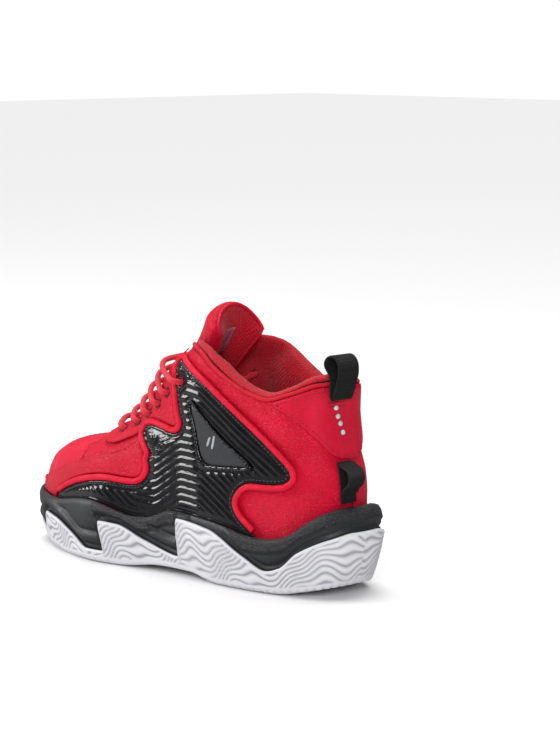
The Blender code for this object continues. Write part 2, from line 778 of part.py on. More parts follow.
def lace_path():
    """Straight-bar lacing from the top row down, both ends tucked inside the collar."""
    side = 1
    s, z = EYELET_S[5], EYELET_Z[5]
    tail = surface(np.array([s - 0.03, s - 0.02, s - 0.008]), np.array([z - 24, z - 12, z - 3]),
                   np.array([-13.0, -11.5, -9.2]))
    parts = [tail]
    for k in range(5, -1, -1):
        parts.append(lace_row(k, side, False))
        parts.append(lace_bar(k, side))
        side = -side
        parts.append(lace_row(k, side, True))
        if k:
            parts.append(lace_under(k, side))
    s, z = EYELET_S[0], EYELET_Z[0]
    parts.append(surface(side * np.array([s - 0.01, s - 0.03, s - 0.05, s - 0.062]),
                         np.array([z + 1, z + 6, z + 14, z + 22]), np.full(4, LACE_UNDER - 1.0)))
    return np.concatenate(parts)


def lace_and_tips(look, tip_look):
    path = lace_path()
    tube("lace", path, LACE_R, look, 6)
    for name, end, before in (("aglet_1", path[0], path[1]), ("aglet_2", path[-1], path[-2])):
        ahead = (end - before) / np.linalg.norm(end - before)
        line = end + ahead * np.linspace(0.8, 16.0, 3)[:, None]
        tube(name, line, 1.7, tip_look, 8)


# ---------------------------------------------------------------- tongue

SPINE_X = [-86, -76, -66, -52, -31, -15, -1, 12, 21, 29, 38]
SPINE_Z = [75.2, 80.6, 88.5, 98, 117.5, 136.5, 149, 160, 172, 184, 193]
SPINE_T = [0, 0.07, 0.14, 0.24, 0.41, 0.56, 0.67, 0.77, 0.855, 0.94, 1.0]
TONGUE_HALF = [(0, 18.4), (0.14, 18), (0.3, 18.4), (0.45, 19.6), (0.7, 20.2), (0.8, 20.8),
               (0.88, 25), (1, 33)]
TONGUE_DROP = [(0, 7), (0.14, 14), (0.3, 19), (0.56, 24), (0.8, 25), (1, 25)]
TONGUE_PIVOT = (-86.0, 5.0, 74.0)


def tongue_face(t, v, depth):
    """Point of the tongue at t along it, v across it (-1 lateral, 1 medial), below its outer face."""
    half = curve(*zip(*TONGUE_HALF), t)
    drop = curve(*zip(*TONGUE_DROP), t)
    x, z = curve(SPINE_T, SPINE_X, t), curve(SPINE_T, SPINE_Z, t)
    dx = curve(SPINE_T, SPINE_X, t + 0.01) - curve(SPINE_T, SPINE_X, t - 0.01)
    dz = curve(SPINE_T, SPINE_Z, t + 0.01) - curve(SPINE_T, SPINE_Z, t - 0.01)
    size = np.hypot(dx, dz)
    out_x, out_z = -dz / size, dx / size
    radius = (half**2 + drop**2) / (2 * drop)
    bend = np.arctan2(half, radius - drop) * v
    fall = radius - (radius - depth) * np.cos(bend)
    y = TOE_SWING * smooth((-x - 30) / 110) + (radius - depth) * np.sin(bend)
    return np.stack([x - out_x * fall, y, z - out_z * fall], -1)


def tongue_sheet(name, t_span, v_span, near, far, look, rows=22, cols=10):
    """Closed sheet of the tongue between two depths."""
    u = np.linspace(0, 1, rows + 1)[:, None]
    v = np.linspace(v_span[0], v_span[1], cols + 1)[None, :]
    end = t_span[1] - 0.03 * np.abs(v) ** 4 - 0.05 * np.clip(v, 0, 1)
    t = t_span[0] + (end - t_span[0]) * u
    v = v + 0 * u
    points = np.concatenate([tongue_face(t, v, near).reshape(-1, 3), tongue_face(t, v, far).reshape(-1, 3)])
    wide = cols + 1
    faces = []
    for i in range(rows):
        for j in range(cols):
            a = i * wide + j
            faces.append([a, a + 1, a + wide + 1])
            faces.append([a, a + wide + 1, a + wide])
    count = (rows + 1) * wide
    return solid(name, points, close_layers(count, np.array(faces)), look, TONGUE_PIVOT)


# ---------------------------------------------------------------- heel trim

HEEL_Y = -6.0
LOOP_AXIS = (148.4, HEEL_Y, 130.6)


def pull_loop(look):
    """Webbing loop sewn to the heel tab along its lower edge."""
    line = [(148.4, 131.2), (150, 134), (153, 142), (155.6, 150), (154.6, 157.5), (149.5, 161.5),
            (143.5, 159.5), (141.6, 155), (143.6, 151.6), (146.8, 148), (147.6, 142.5), (147.3, 135.5)]
    path = np.array([(x + 0.6, HEEL_Y, z) for x, z in line])
    closed = np.concatenate([path, path[:1]])
    near = 0.75 * closed[:-1] + 0.25 * closed[1:]
    far = 0.25 * closed[:-1] + 0.75 * closed[1:]
    path = np.stack([near, far], 1).reshape(-1, 3)
    return band("pull_loop", path, 19.0, 1.4, look, True, LOOP_AXIS)


def heel_line(heights, offs):
    """Path down the middle of the heel at distances off the foot form."""
    z = np.array(heights, float)
    path = surface(np.full(len(z), 0.012), z, np.array(offs, float))
    path[:, 1] = HEEL_Y
    return path


def heel_dot(index, s, z, look):
    """Small domed reflective dot on the heel tab."""
    centre = surface(s, z, np.array(OVER_OUT + SEWN_GAP))
    out = unit(surface(s, z, np.array(5.0)) - centre)
    side = unit(np.cross(out, [0.0, 0.0, 1.0]))
    up = np.cross(side, out)
    a = np.arange(10)[:, None] * np.pi / 5
    profile = ((0, 1.9), (0.5, 1.9), (0.9, 1.2))
    rims = [centre + out * h + r * (np.cos(a) * side + np.sin(a) * up) for h, r in profile]
    return sweep(f"heel_dot_{index}", np.stack(rims), look)


# ---------------------------------------------------------------- build

def looks():
    return {
        "red_leather": material("red_leather", RED, 0.42),
        "red_mesh": material("red_mesh", DEEP_RED, 0.85),
        "red_lace": material("red_lace", (0.62, 0.02, 0.05), 0.8),
        "patent": material("black_patent", BLACK, 0.12),
        "trim": material("badge_charcoal", (0.02, 0.021, 0.025), 0.5),
        "webbing": material("black_webbing", (0.01, 0.01, 0.012), 0.8),
        "strap": material("black_strap", (0.008, 0.008, 0.01), 0.45),
        "eva": material("charcoal_eva", CHARCOAL, 0.6),
        "rubber": material("white_rubber", WHITE, 0.5),
        "foam": material("cream_foam", (0.6, 0.55, 0.42), 0.9),
        "stiff": material("grey_stiffener", (0.3, 0.3, 0.3), 0.6),
        "board": material("sole_board", (0.55, 0.5, 0.42), 0.9),
        "label": material("size_label", (0.4, 0.1, 0.16), 0.7),
        "dot": material("mint_reflector", (0.5, 0.66, 0.58), 0.35),
        "tip": material("clear_tip", (0.5, 0.05, 0.08), 0.3),
    }


def build_sole(look):
    outsole(look["rubber"])
    midsole(look["eva"])
    shank_plate(look["stiff"])
    board("sole_board", 2.2, 1.4, 6.2, look["board"])
    board("sockliner", 4.0, 3.6, 6.6, look["foam"])


def build_side(tag, flip, look):
    """Pieces that exist once on each side of the shoe."""
    turned = mirror if flip else (lambda line: line)
    holes = eyelets(range(6))
    border = beside(panel_edge(), 5.0)
    piping = beside(panel_edge(), 2.4)
    piping = even(piping[piping[:, 1] > rim(piping[:, 0]) + 3.0], 5.0)
    sides = {
        "quarter": (quarter_loop(0.0004), BASE_IN, BASE_OUT, "red_leather", holes),
        "side_panel": (panel_loop(), OVER_IN, OVER_OUT, "patent", holes[5:]),
        "eyestay": (eyestay_loop(border), OVER_IN, OVER_OUT, "red_leather", holes[:5]),
        "forefoot_overlay": (forefoot_loop(border), OVER_IN, OVER_OUT, "red_leather", []),
    }
    for name, (loop, low, high, finish, cut) in sides.items():
        patch(f"{name}_{tag}", turned(loop), low, high, look[finish], [turned(hole) for hole in cut])
    line = turned(piping)
    path = surface(line[:, 0], line[:, 1], np.full(len(line), BASE_OUT + SEWN_GAP + 0.3 + PIPING_R))
    tube(f"piping_{tag}", path, PIPING_R, look["red_leather"], 6)


def build_upper(look):
    build_side("lateral", False, look)
    build_side("medial", True, look)
    patch("vamp_toe_box", vamp_loop(), BASE_IN, BASE_OUT, look["red_leather"], spacing=9)
    patch("vamp_lining", vamp_loop(), lambda s, z: lining_in(s, z), lambda s, z: lining_out(s, z),
          look["red_mesh"], spacing=10)
    holes = eyelets(range(6))
    lining = quarter_loop(0.0)
    loop = join(lining[:-1], mirror(lining)[::-1][1:-1])
    patch("ankle_lining", loop, lining_in, lining_out, look["red_mesh"], holes + flip_all(holes), 12)
    foam = rail(-0.262, 0.262, lambda s: topline(s) - 0.8, 32)
    low = rail(0.262, -0.262, lambda s: topline(s) - COLLAR_BAND + 13, 28)
    patch("collar_foam", join(foam, low), lambda s, z: lining_out(s, z) + 2.3, -2.4, look["foam"], (), 10)
    counter = join(rail(-0.15, 0.15, lambda s: 84 - 900 * np.abs(s) ** 2, 20),
                   rail(0.15, -0.15, lambda s: base_edge(s) + 2, 16))
    patch("heel_counter", counter, STIFF_IN, STIFF_OUT, look["stiff"], (), 12)
    puff = join(rail(0.39, 0.61, lambda s: 72 - 900 * np.abs(s - 0.5) ** 2, 16),
                rail(0.61, 0.39, lambda s: base_edge(s) + 2, 14))
    patch("toe_puff", puff, STIFF_IN, STIFF_OUT, look["stiff"], (), 8)
    patch("heel_tab_panel", heel_tab_loop(), OVER_IN, OVER_OUT, look["red_leather"], (), 9)
    patch("badge_frame", badge_loop(6.0), OVER_OUT + 0.5, OVER_OUT + 1.3, look["patent"],
          [badge_loop(2.0)], 8)
    patch("badge", badge_loop(0.6), OVER_OUT + 0.5, OVER_OUT + 1.7, look["trim"], (), 8)
    binding(look["red_mesh"])
    lace_and_tips(look["red_lace"], look["tip"])


def build_tongue(look):
    tongue_sheet("tongue_shell", (0.0, 1.0), (-1, 1), 0.0, 1.2, look["red_leather"])
    tongue_sheet("tongue_foam", (0.13, 0.985), (-0.93, 0.93), 2.6, 8.9, look["foam"], 16, 8)
    tongue_sheet("tongue_lining", (0.12, 1.0), (-0.97, 0.97), 9.4, 10.4, look["red_mesh"], 16, 8)
    tongue_sheet("tongue_label", (0.76, 0.9), (-0.38, 0.22), 10.8, 11.3, look["label"], 3, 3)


def build_heel(look):
    pull_loop(look["webbing"])
    flat = heel_line([91.5, 86, 80, 74, 68, 63.4], [OVER_IN + 0.7] * 6)
    flat[0] = heel_line([90.2], [OVER_IN + 0.7])[0]
    band("heel_strap", flat, 14.0, 1.3, look["webbing"])
    loop = heel_line([89, 87, 83.5, 78.5, 74.5, 73, 70], [3.2, 4.6, 9.5, 10.5, 7.5, 4.6, 3.2])
    band("heel_strap_loop", loop, 15.0, 1.5, look["strap"])
    for index, (s, z) in enumerate([(0.033, 126), (0.028, 120), (0.022, 115), (0.017, 109)], 1):
        heel_dot(index, s, z, look["dot"])


def main():
    for old in list(bpy.data.objects):
        bpy.data.objects.remove(old, do_unlink=True)
    look = looks()
    build_sole(look)
    build_upper(look)
    build_tongue(look)
    build_heel(look)


main()
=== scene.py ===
"""Looks of the basketball high top: leather, patent, mesh, webbing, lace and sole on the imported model.

Lengths are in drawing units; MM is the size of one unit in metres. Toe at -X, lateral side at -Y.
A place on the upper is a turn s (0 heel, 0.25 lateral, 0.5 toe, -0.25 medial) and a height z.
"""

import bmesh
import bpy
import numpy as np
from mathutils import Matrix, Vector
from mathutils.bvhtree import BVHTree
from mathutils.geometry import delaunay_2d_cdt
from mathutils.kdtree import KDTree


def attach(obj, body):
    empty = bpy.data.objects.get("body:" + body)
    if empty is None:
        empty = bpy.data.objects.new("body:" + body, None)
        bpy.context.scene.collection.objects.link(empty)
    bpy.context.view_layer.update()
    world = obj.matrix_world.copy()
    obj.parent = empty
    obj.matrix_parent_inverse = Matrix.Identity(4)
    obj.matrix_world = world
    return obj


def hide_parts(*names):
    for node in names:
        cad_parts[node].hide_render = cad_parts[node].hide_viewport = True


MM = 0.00095
ORIGIN = np.array([4.95, 0.03, 0.0])

# ---------------------------------------------------------------- sizes shared with the CAD model

FRONT_Z = [8, 30, 46, 60, 70, 77, 82, 91, 107, 126, 143, 158, 176]
FRONT_X = [-149, -153, -154, -148, -135, -117, -91, -68, -43, -26, -12, 10, 24]
BACK_Z = [8, 30, 50, 75, 100, 125, 140, 160]
BACK_X = [145, 151, 155, 154, 148, 144, 144, 146]
STATION = [-130, -100, -60, -20, 25, 75, 125]
LEVEL = [8, 30, 60, 90, 120, 155]
LATERAL = [
    [46, 50, 50, 43, 37, 40, 41],
    [49, 53, 53, 45, 39, 42, 43],
    [45, 49, 50, 45, 40, 41, 42],
    [32, 38, 43, 42, 40, 39, 38],
    [26, 30, 36, 38, 39, 39, 38],
    [26, 30, 34, 36, 38, 40, 39],
]
MEDIAL = [
    [44, 48, 48, 40, 34, 38, 39],
    [46, 50, 50, 42, 37, 41, 44],
    [42, 46, 48, 43, 38, 41, 43],
    [32, 38, 42, 42, 39, 39, 38],
    [26, 30, 36, 38, 38, 39, 38],
    [26, 30, 34, 36, 38, 40, 39],
]
TOE_SWING = 8.0
BLUNT = 2.8
GIRTH = 720.0
OVER_IN, OVER_OUT = 1.1, 2.4
LINING_OUT, LINING_THICK = 4.9, 0.9
FOAM_DEPTH = 4.6
COLLAR_BAND = 34.0

FLOOR_X = [-158, -110, -60, 0, 60, 120, 150]
FLOOR_Z = [25, 16, 13, 15, 19, 22, 22]
GROUND_X = [-158, -130, -108, -80, -30, 10, 40, 70, 115, 140, 152, 168]
GROUND_Z = [14, 6, 2, 0, 0, 4, 4, 0, 0, 4, 8, 13]
WALL_H = [0, 3, 10, 22, 36, 50, 62]
WALL_SHARE = [0.68, 0.92, 1.0, 1.0, 1.0, 0.8, 0.55]
FLARE_S = [0, 0.06, 0.12, 0.2, 0.3, 0.4, 0.5]
FLARE = [13.5, 13, 10.5, 8.5, 8, 7.5, 7]
RIM_S = [0, 0.04, 0.071, 0.098, 0.118, 0.141, 0.187, 0.225, 0.25, 0.265, 0.306, 0.352, 0.415, 0.5]
RIM_Z = [61, 61, 58, 50, 40, 37, 43, 45, 38, 37, 44, 38, 37, 43]
LOBE_S = [0, 0.03, 0.062, 0.095, 0.114, 0.128, 0.148, 0.176, 0.206,
          0.213, 0.248, 0.27, 0.286, 0.293, 0.308, 0.322, 0.345, 0.362, 0.376, 0.39, 0.5]
LOBE_Z = [45, 45, 41, 31, 19, 16, 24, 38, 41, 14, 22, 30, 31, 9, 9, 17, 25, 26, 14, 11, 19]
LOBE_SLANT = 0.00036
OUTSOLE_WALL, OUTSOLE_FLOOR = 2.2, 4.0
CEMENT = 0.9

TOP_S = [0, 0.076, 0.131, 0.16, 0.188, 0.219, 0.269, 0.33, 0.386]
TOP_Z = [141, 140, 133, 129, 132, 138, 147, 156, 159]
THROAT_Z = [86.4, 87.2, 88.5, 91, 95, 100, 110, 120, 137, 150, 160]
THROAT_S = [0.5, 0.475, 0.452, 0.43, 0.415, 0.403, 0.393, 0.387, 0.377, 0.377, 0.386]
SEAM = [(0.332, 40), (0.334, 60), (0.345, 73), (0.372, 79), (0.412, 84), (0.442, 89.5)]
EYELET_Z = [92.5, 99.5, 107, 115.5, 124.5, 134]
EYELET_S = [0.383, 0.371, 0.363, 0.353, 0.342, 0.318]
EYELET_R = 3.1
LACE_OVER, LACE_OVER_PIPING, LACE_UNDER = 4.8, 6.8, -9.0
LACE_CROWN = 1.6
LACE_RISE = [6, 8, 10, 12, 13, 11]
PANEL_FRONT = [(-101, 41), (-79, 51), (-47, 59), (-22, 58), (-9, 59), (0, 67), (1, 76), (-8, 90), (-13, 96),
               (-8, 101), (9, 100), (25, 97), (32, 105), (28, 111), (24, 124), (20, 138), (19, 147)]
PANEL_REAR = [(24, 149), (46, 140), (76, 123), (105, 103), (125, 85), (128, 79), (122, 74), (105, 73),
              (91, 73), (82, 64), (80, 57), (85, 48), (98, 39)]
SPINE_X = [-86, -76, -66, -52, -31, -15, -1, 12, 21, 29, 38]
SPINE_Z = [75.2, 80.6, 88.5, 98, 117.5, 136.5, 149, 160, 172, 184, 193]
SPINE_T = [0, 0.07, 0.14, 0.24, 0.41, 0.56, 0.67, 0.77, 0.855, 0.94, 1.0]
TONGUE_HALF = [(0, 18.4), (0.14, 18), (0.3, 18.4), (0.45, 19.6), (0.7, 20.2), (0.8, 20.8),
               (0.88, 25), (1, 33)]
TONGUE_DROP = [(0, 7), (0.14, 14), (0.3, 19), (0.56, 24), (0.8, 25), (1, 25)]
HEEL_Y = -6.0

# Camera, in degrees, metres and millimetres of lens
CAMERA_AZIMUTH, CAMERA_ELEVATION = 47.777, 9.914
CAMERA_DISTANCE, CAMERA_LENS = 1.7689, 127.25
VIEW_CENTRE = np.array([-0.0047, -0.00003, 0.057])
AIM_RIGHT, AIM_UP = 0.0565, 0.0698

# Threads, cords and small raised details
STITCH_SINK, EDGE_STITCH_SINK = 0.35, 0.3
PIPING_RADIUS, PIPING_FLAT, PIPING_LIFT = 2.25, 0.78, 2.15
BRAID_RADIUS, WEBBING_STEP = 2.0, 0.34
RIB_HEIGHT, FINE_RIB_HEIGHT = 1.5, 0.8
RIB_PERIOD, FINE_RIB_PERIOD = 5.2, 4.4
GROOVE_PERIOD, GROOVE_DEPTH = 3.7, 1.3
OUTSOLE_ROWS, OUTSOLE_STEP, TREAD_STEPS = 40, 0.95, 84
MIDSOLE_ROWS, MIDSOLE_STEP = 34, 1.3
PERFORATION_ROWS = [(-120, 4), (-114, 5), (-108, 4), (-102, 3)]
PERFORATION_GAP = 5.0
MARK_BARS = [(-2.2, 4.6), (2.2, 3.2)]
LABEL_LINES = [0.79, 0.803, 0.816, 0.84, 0.853, 0.87, 0.883]


# ---------------------------------------------------------------- foot form

def curve(knots, values, at):
    """Smooth curve through the knots, without overshoot."""
    k = np.asarray(knots, float)
    v = np.asarray(values, float)
    at = np.clip(np.asarray(at, float), k[0], k[-1])
    step = np.diff(k)
    slope = np.diff(v) / step
    m = np.zeros_like(v)
    m[0], m[-1] = slope[0], slope[-1]
    for i in range(1, len(k) - 1):
        if slope[i - 1] * slope[i] > 0:
            w1 = 2 * step[i] + step[i - 1]
            w2 = step[i] + 2 * step[i - 1]
            m[i] = (w1 + w2) / (w1 / slope[i - 1] + w2 / slope[i])
    i = np.clip(np.searchsorted(k, at, side="right") - 1, 0, len(k) - 2)
    h = step[i]
    t = (at - k[i]) / h
    rise = (2 * t**3 - 3 * t**2 + 1) * v[i] + (t**3 - 2 * t**2 + t) * h * m[i]
    return rise + (3 * t**2 - 2 * t**3) * v[i + 1] + (t**3 - t**2) * h * m[i + 1]


def smooth(t):
    t = np.clip(t, 0, 1)
    return t * t * (3 - 2 * t)


def half_width(rows, x, z):
    """Half width of the foot form from a station by level table."""
    levels = np.asarray(LEVEL, float)
    z = np.clip(z, levels[0], levels[-1])
    i = np.clip(np.searchsorted(levels, z, side="right") - 1, 0, len(levels) - 2)
    t = (z - levels[i]) / (levels[i + 1] - levels[i])
    t = 0.5 * smooth(t) + 0.5 * t
    widths = np.stack([curve(STATION, row, x) for row in rows])
    low = np.take_along_axis(widths, i[None], 0)[0]
    high = np.take_along_axis(widths, i[None] + 1, 0)[0]
    return low * (1 - t) + high * t


def bluntness(s, z):
    """Ring exponent: blunt at the toe and heel, rounder over the instep."""
    front = (1 - np.cos(2 * np.pi * s)) / 2
    return BLUNT - 0.7 * front * smooth((z - 70) / 30)


def run_of(path):
    """Length along a path at each of its points."""
    return np.concatenate([[0], np.cumsum(np.linalg.norm(np.diff(path, axis=0), axis=1))])


def ring(s, z):
    """Point of the foot form at turn s and height z."""
    s, z = np.broadcast_arrays(np.asarray(s, float), np.asarray(z, float))
    n = bluntness(s, z)
    quarter = np.floor(np.mod(s, 1.0) * 4)
    t = np.mod(s, 1.0) * 4 - quarter
    a = (quarter + t ** (n / 2) / (t ** (n / 2) + (1 - t) ** (n / 2))) * np.pi / 2
    front, back = curve(FRONT_Z, FRONT_X, z), curve(BACK_Z, BACK_X, z)
    ca, sa = np.cos(a), np.sin(a)
    x = back + (front - back) * (1 - np.sign(ca) * np.abs(ca) ** (2 / n)) / 2
    w = np.where(sa > 0, -half_width(LATERAL, x, z), half_width(MEDIAL, x, z))
    y = TOE_SWING * smooth((-x - 30) / 110) + w * np.abs(sa) ** (2 / n)
    return np.stack([x, y, z + 0 * x], -1)


def unit(v):
    return v / np.maximum(np.linalg.norm(v, axis=-1, keepdims=True), 1e-9)


def outward(s, z):
    """Level direction away from the foot."""
    d = ring(np.asarray(s) + 2e-3, z) - ring(np.asarray(s) - 2e-3, z)
    return unit(np.stack([-d[..., 1], d[..., 0], 0 * d[..., 0]], -1))


def slopes(s, z):
    """How the foot form moves per unit of turn and per unit of height."""
    around = (ring(s + 1e-3, z) - ring(s - 1e-3, z)) / 2e-3
    rising = (ring(s, z + 0.3) - ring(s, z - 0.3)) / 0.6
    return around, rising


def to_pattern(s, z, move):
    """Change of turn and height that makes a small move along the foot form."""
    around, rising = slopes(s, z)
    aa, bb, ab = (around**2).sum(-1), (rising**2).sum(-1), (around * rising).sum(-1)
    am, bm = (around * move).sum(-1), (rising * move).sum(-1)
    share = aa * bb - ab**2
    return np.stack([(bb * am - ab * bm) / share, (aa * bm - ab * am) / share], -1)


def facing(s, z):
    """Outward normal of the foot form."""
    around, rising = slopes(s, z)
    normal = unit(np.cross(around, rising))
    return normal * np.sign((normal * outward(s, z)).sum(-1, keepdims=True) + 1e-9)


def surface(s, z, off):
    """Point at a distance off the foot form, along its normal."""
    s = np.asarray(s, float)
    z = np.asarray(z, float)
    return ring(s, z) + facing(s, z) * np.asarray(off, float)[..., None]


def skin(line):
    """Points of a (turn, height) line on the foot form."""
    return surface(line[:, 0], line[:, 1], np.zeros(len(line)))


def turn_at(x, z):
    """Lateral turn at which the ring at height z reaches x."""
    low, high = np.zeros_like(x), np.full_like(x, 0.5)
    for _ in range(30):
        mid = (low + high) / 2
        past = ring(mid, z)[..., 0] > x
        low = np.where(past, mid, low)
        high = np.where(past, high, mid)
    return (low + high) / 2


# ---------------------------------------------------------------- edge lines

def fold(s):
    """Turn measured from the heel on either side, 0 to 0.5."""
    s = np.mod(np.asarray(s, float), 1.0)
    return np.minimum(s, 1 - s)


def topline(s):
    return curve(TOP_S, TOP_Z, fold(s))


def rim(s):
    return curve(RIM_S, RIM_Z, fold(s))


def lobe(s):
    return curve(LOBE_S, LOBE_Z, fold(s))


def floor_height(x):
    return curve(FLOOR_X, FLOOR_Z, x)


def ground(x):
    return curve(GROUND_X, GROUND_Z, x)


def base_edge(s):
    """Height of the upper's lower edge inside the midsole cup."""
    return floor_height(ring(s, 20)[..., 0]) + 2.2


def rail(s_from, s_to, height, count):
    """Edge line that follows a height function."""
    s = np.linspace(s_from, s_to, count)
    return np.stack([s, height(s)], -1)


def side_line(points):
    """Lateral (x, z) points as (turn, height)."""
    p = np.asarray(points, float)
    return np.stack([turn_at(p[:, 0], p[:, 1]), p[:, 1]], -1)


def ease(line, rounds=2):
    """Corner-cut an open line, keeping its ends."""
    for _ in range(rounds):
        near = 0.75 * line[:-1] + 0.25 * line[1:]
        far = 0.25 * line[:-1] + 0.75 * line[1:]
        mixed = np.stack([near, far], 1).reshape(-1, line.shape[1])
        line = np.concatenate([line[:1], mixed[1:-1], line[-1:]])
    return line


def ease_closed(loop, rounds):
    """Corner-cut a closed loop."""
    for _ in range(rounds):
        after = np.roll(loop, -1, 0)
        mixed = np.stack([0.75 * loop + 0.25 * after, 0.25 * loop + 0.75 * after], 1)
        loop = mixed.reshape(-1, loop.shape[1])
    return loop


def even(line, step):
    """Line with points one step apart on the foot form."""
    run = run_of(skin(line))
    at = np.linspace(0, run[-1], max(2, int(run[-1] / step) + 1))
    return np.stack([np.interp(at, run, line[:, 0]), np.interp(at, run, line[:, 1])], -1)


def tree_of(points):
    """Search tree of a list of points."""
    tree = KDTree(len(points))
    for i, p in enumerate(points):
        tree.insert(p, i)
    tree.balance()
    return tree


def gap_to(points, line):
    """Distance from each point to the nearest of a line's points."""
    tree = tree_of(line)
    return np.array([tree.find(p)[2] for p in points])


def beside(line, distance):
    """Line parallel to another on the foot form, at a distance to its right in (turn, height)."""
    s, z = line[:, 0], line[:, 1]
    along = unit(np.gradient(ring(s, z), axis=0))
    right = np.cross(facing(s, z), along)
    moved = line + to_pattern(s, z, right * distance)
    return moved[gap_to(skin(moved), skin(line)) > 0.93 * abs(distance)]


def mirror(line):
    return line * np.array([-1.0, 1.0])


def join(*lines):
    return np.concatenate(lines)


def inside(points, loop):
    """Which points lie inside a closed loop."""
    found = np.zeros(len(points), bool)
    x1, y1 = loop[:, 0][None], loop[:, 1][None]
    x2, y2 = np.roll(x1, -1), np.roll(y1, -1)
    for start in range(0, len(points), 4000):
        x = points[start:start + 4000, 0][:, None]
        y = points[start:start + 4000, 1][:, None]
        crosses = (y1 > y) != (y2 > y)
        at = x1 + (y - y1) * (x2 - x1) / np.where(y2 == y1, 1e-12, y2 - y1)
        found[start:start + 4000] = (crosses & (x < at)).sum(1) % 2 == 1
    return found


# ---------------------------------------------------------------- mesh building

def metres(points):
    return (np.asarray(points, float) - ORIGIN) * MM


def piece(name, points, faces, looks, body, stands_for=(), slot=None, face_look=None, grain=None):
    """Object from drawing-unit points, riding on a body."""
    mesh = bpy.data.meshes.new(name)
    mesh.from_pydata(metres(points).tolist(), [], [tuple(map(int, f)) for f in faces])
    for look in looks if isinstance(looks, (list, tuple)) else [looks]:
        mesh.materials.append(look)
    if face_look is not None:
        mesh.polygons.foreach_set("material_index", np.asarray(face_look, np.int32))
    if grain is not None:
        lay_grain(mesh, grain)
    work = bmesh.new()
    work.from_mesh(mesh)
    bmesh.ops.recalc_face_normals(work, faces=work.faces)
    work.to_mesh(mesh)
    work.free()
    mesh.polygons.foreach_set("use_smooth", np.full(len(mesh.polygons), True))
    made = bpy.data.objects.new(name, mesh)
    bpy.context.scene.collection.objects.link(made)
    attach(made, body)
    if len(stands_for):
        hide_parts(*stands_for)
    return made


def lay_grain(mesh, grain):
    """Pattern coordinates in metres, one pair for each point, as the mesh's UV map."""
    layer = mesh.uv_layers.new(name="grain")
    corners = np.empty(len(mesh.loops), np.int32)
    mesh.loops.foreach_get("vertex_index", corners)
    layer.data.foreach_set("uv", (np.asarray(grain)[corners] * MM).astype(np.float32).ravel())


HEIGHTS = np.arange(6, 175, 1.0)
TURNS = np.arange(-0.5, 1.001, 0.01)
RISE = ring(TURNS[:, None], HEIGHTS[None, :])
RISE = np.linalg.norm(np.diff(RISE, axis=1), axis=-1)
RISE = np.concatenate([np.zeros((len(TURNS), 1)), np.cumsum(RISE, 1)], 1)


def flatten(line):
    """Rough flat pattern of the foot form."""
    i = np.clip((line[:, 0] - TURNS[0]) / 0.01, 0, len(TURNS) - 1.001)
    j = np.clip(line[:, 1] - HEIGHTS[0], 0, len(HEIGHTS) - 1.001)
    a, b = i.astype(int), j.astype(int)
    u, v = i - a, j - b
    low = RISE[a, b] * (1 - v) + RISE[a, b + 1] * v
    high = RISE[a + 1, b] * (1 - v) + RISE[a + 1, b + 1] * v
    return np.stack([line[:, 0] * GIRTH, low * (1 - u) + high * u], -1)


def divide(loop, spacing):
    """Closed loop with points about one spacing apart."""
    places = skin(loop)
    chosen = [0]
    for i in range(1, len(loop)):
        if np.linalg.norm(places[i] - places[chosen[-1]]) > 0.4 * spacing:
            chosen.append(i)
    if np.linalg.norm(places[chosen[-1]] - places[0]) < 0.4 * spacing:
        chosen.pop()
    kept, places = loop[chosen], places[chosen]
    after = np.roll(kept, -1, 0)
    sides = np.linalg.norm(np.roll(places, -1, 0) - places, axis=1)
    counts = np.maximum(1, np.ceil(sides / spacing)).astype(int)
    return join(*[a + (b - a) * np.arange(n)[:, None] / n for a, b, n in zip(kept, after, counts)])


def scatter(loop, holes, spacing):
    """Staggered inner points of a loop in (turn, height)."""
    lo, hi = loop.min(0), loop.max(0)
    s = np.arange(lo[0], hi[0], spacing / GIRTH / 2)
    z = np.arange(lo[1], hi[1], spacing / 4)
    grid = np.stack(np.meshgrid(s, z), -1).reshape(-1, 2)
    flat = flatten(grid)
    keep = inside(flat, flatten(loop))
    for hole in holes:
        keep &= ~inside(flat, flatten(hole))
    grid = grid[keep]
    places = skin(grid)
    room = gap_to(places, skin(divide(loop, spacing / 2))) > 0.6 * spacing
    for hole in holes:
        room &= gap_to(places, skin(hole)) > 0.5 * spacing
    grid, places = grid[room], places[room]
    return grid[thin_out(places, spacing * 0.9)]


def thin_out(places, spacing):
    """Indices of points that keep one spacing apart."""
    tree = tree_of(places)
    free = np.ones(len(places), bool)
    chosen = []
    for i, p in enumerate(places):
        if free[i]:
            chosen.append(i)
            free[[found[1] for found in tree.find_range(p, spacing)]] = False
    return chosen


def triangles(loop, holes, inner):
    """Triangles of a loop with holes, over loop, hole and inner points."""
    everything = np.concatenate([loop, *holes, inner])
    flat = flatten(everything)
    edges = []
    start = 0
    for line in [loop, *holes]:
        n = len(line)
        edges += [(start + k, start + (k + 1) % n) for k in range(n)]
        start += n
    found = delaunay_2d_cdt([tuple(p) for p in flat], edges, [], 0, 1e-6)
    origin = [ids[0] for ids in found[3]]
    faces = np.array([[origin[v] for v in face] for face in found[2]])
    centre = flat[faces].mean(1)
    keep = inside(centre, flat[: len(loop)])
    start = len(loop)
    for hole in holes:
        keep &= ~inside(centre, flat[start:start + len(hole)])
        start += len(hole)
    return everything, faces[keep]


def refine(where, faces):
    """Split every triangle in four."""
    sides = np.sort(np.concatenate([faces[:, [0, 1]], faces[:, [1, 2]], faces[:, [2, 0]]]), axis=1)
    edges, index = np.unique(sides, axis=0, return_inverse=True)
    ab, bc, ca = index.reshape(3, -1) + len(where)
    a, b, c = faces.T
    made = [(a, ab, ca), (ab, b, bc), (ca, bc, c), (ab, bc, ca)]
    return np.concatenate([where, where[edges].mean(1)]), np.concatenate([np.stack(t, 1) for t in made])


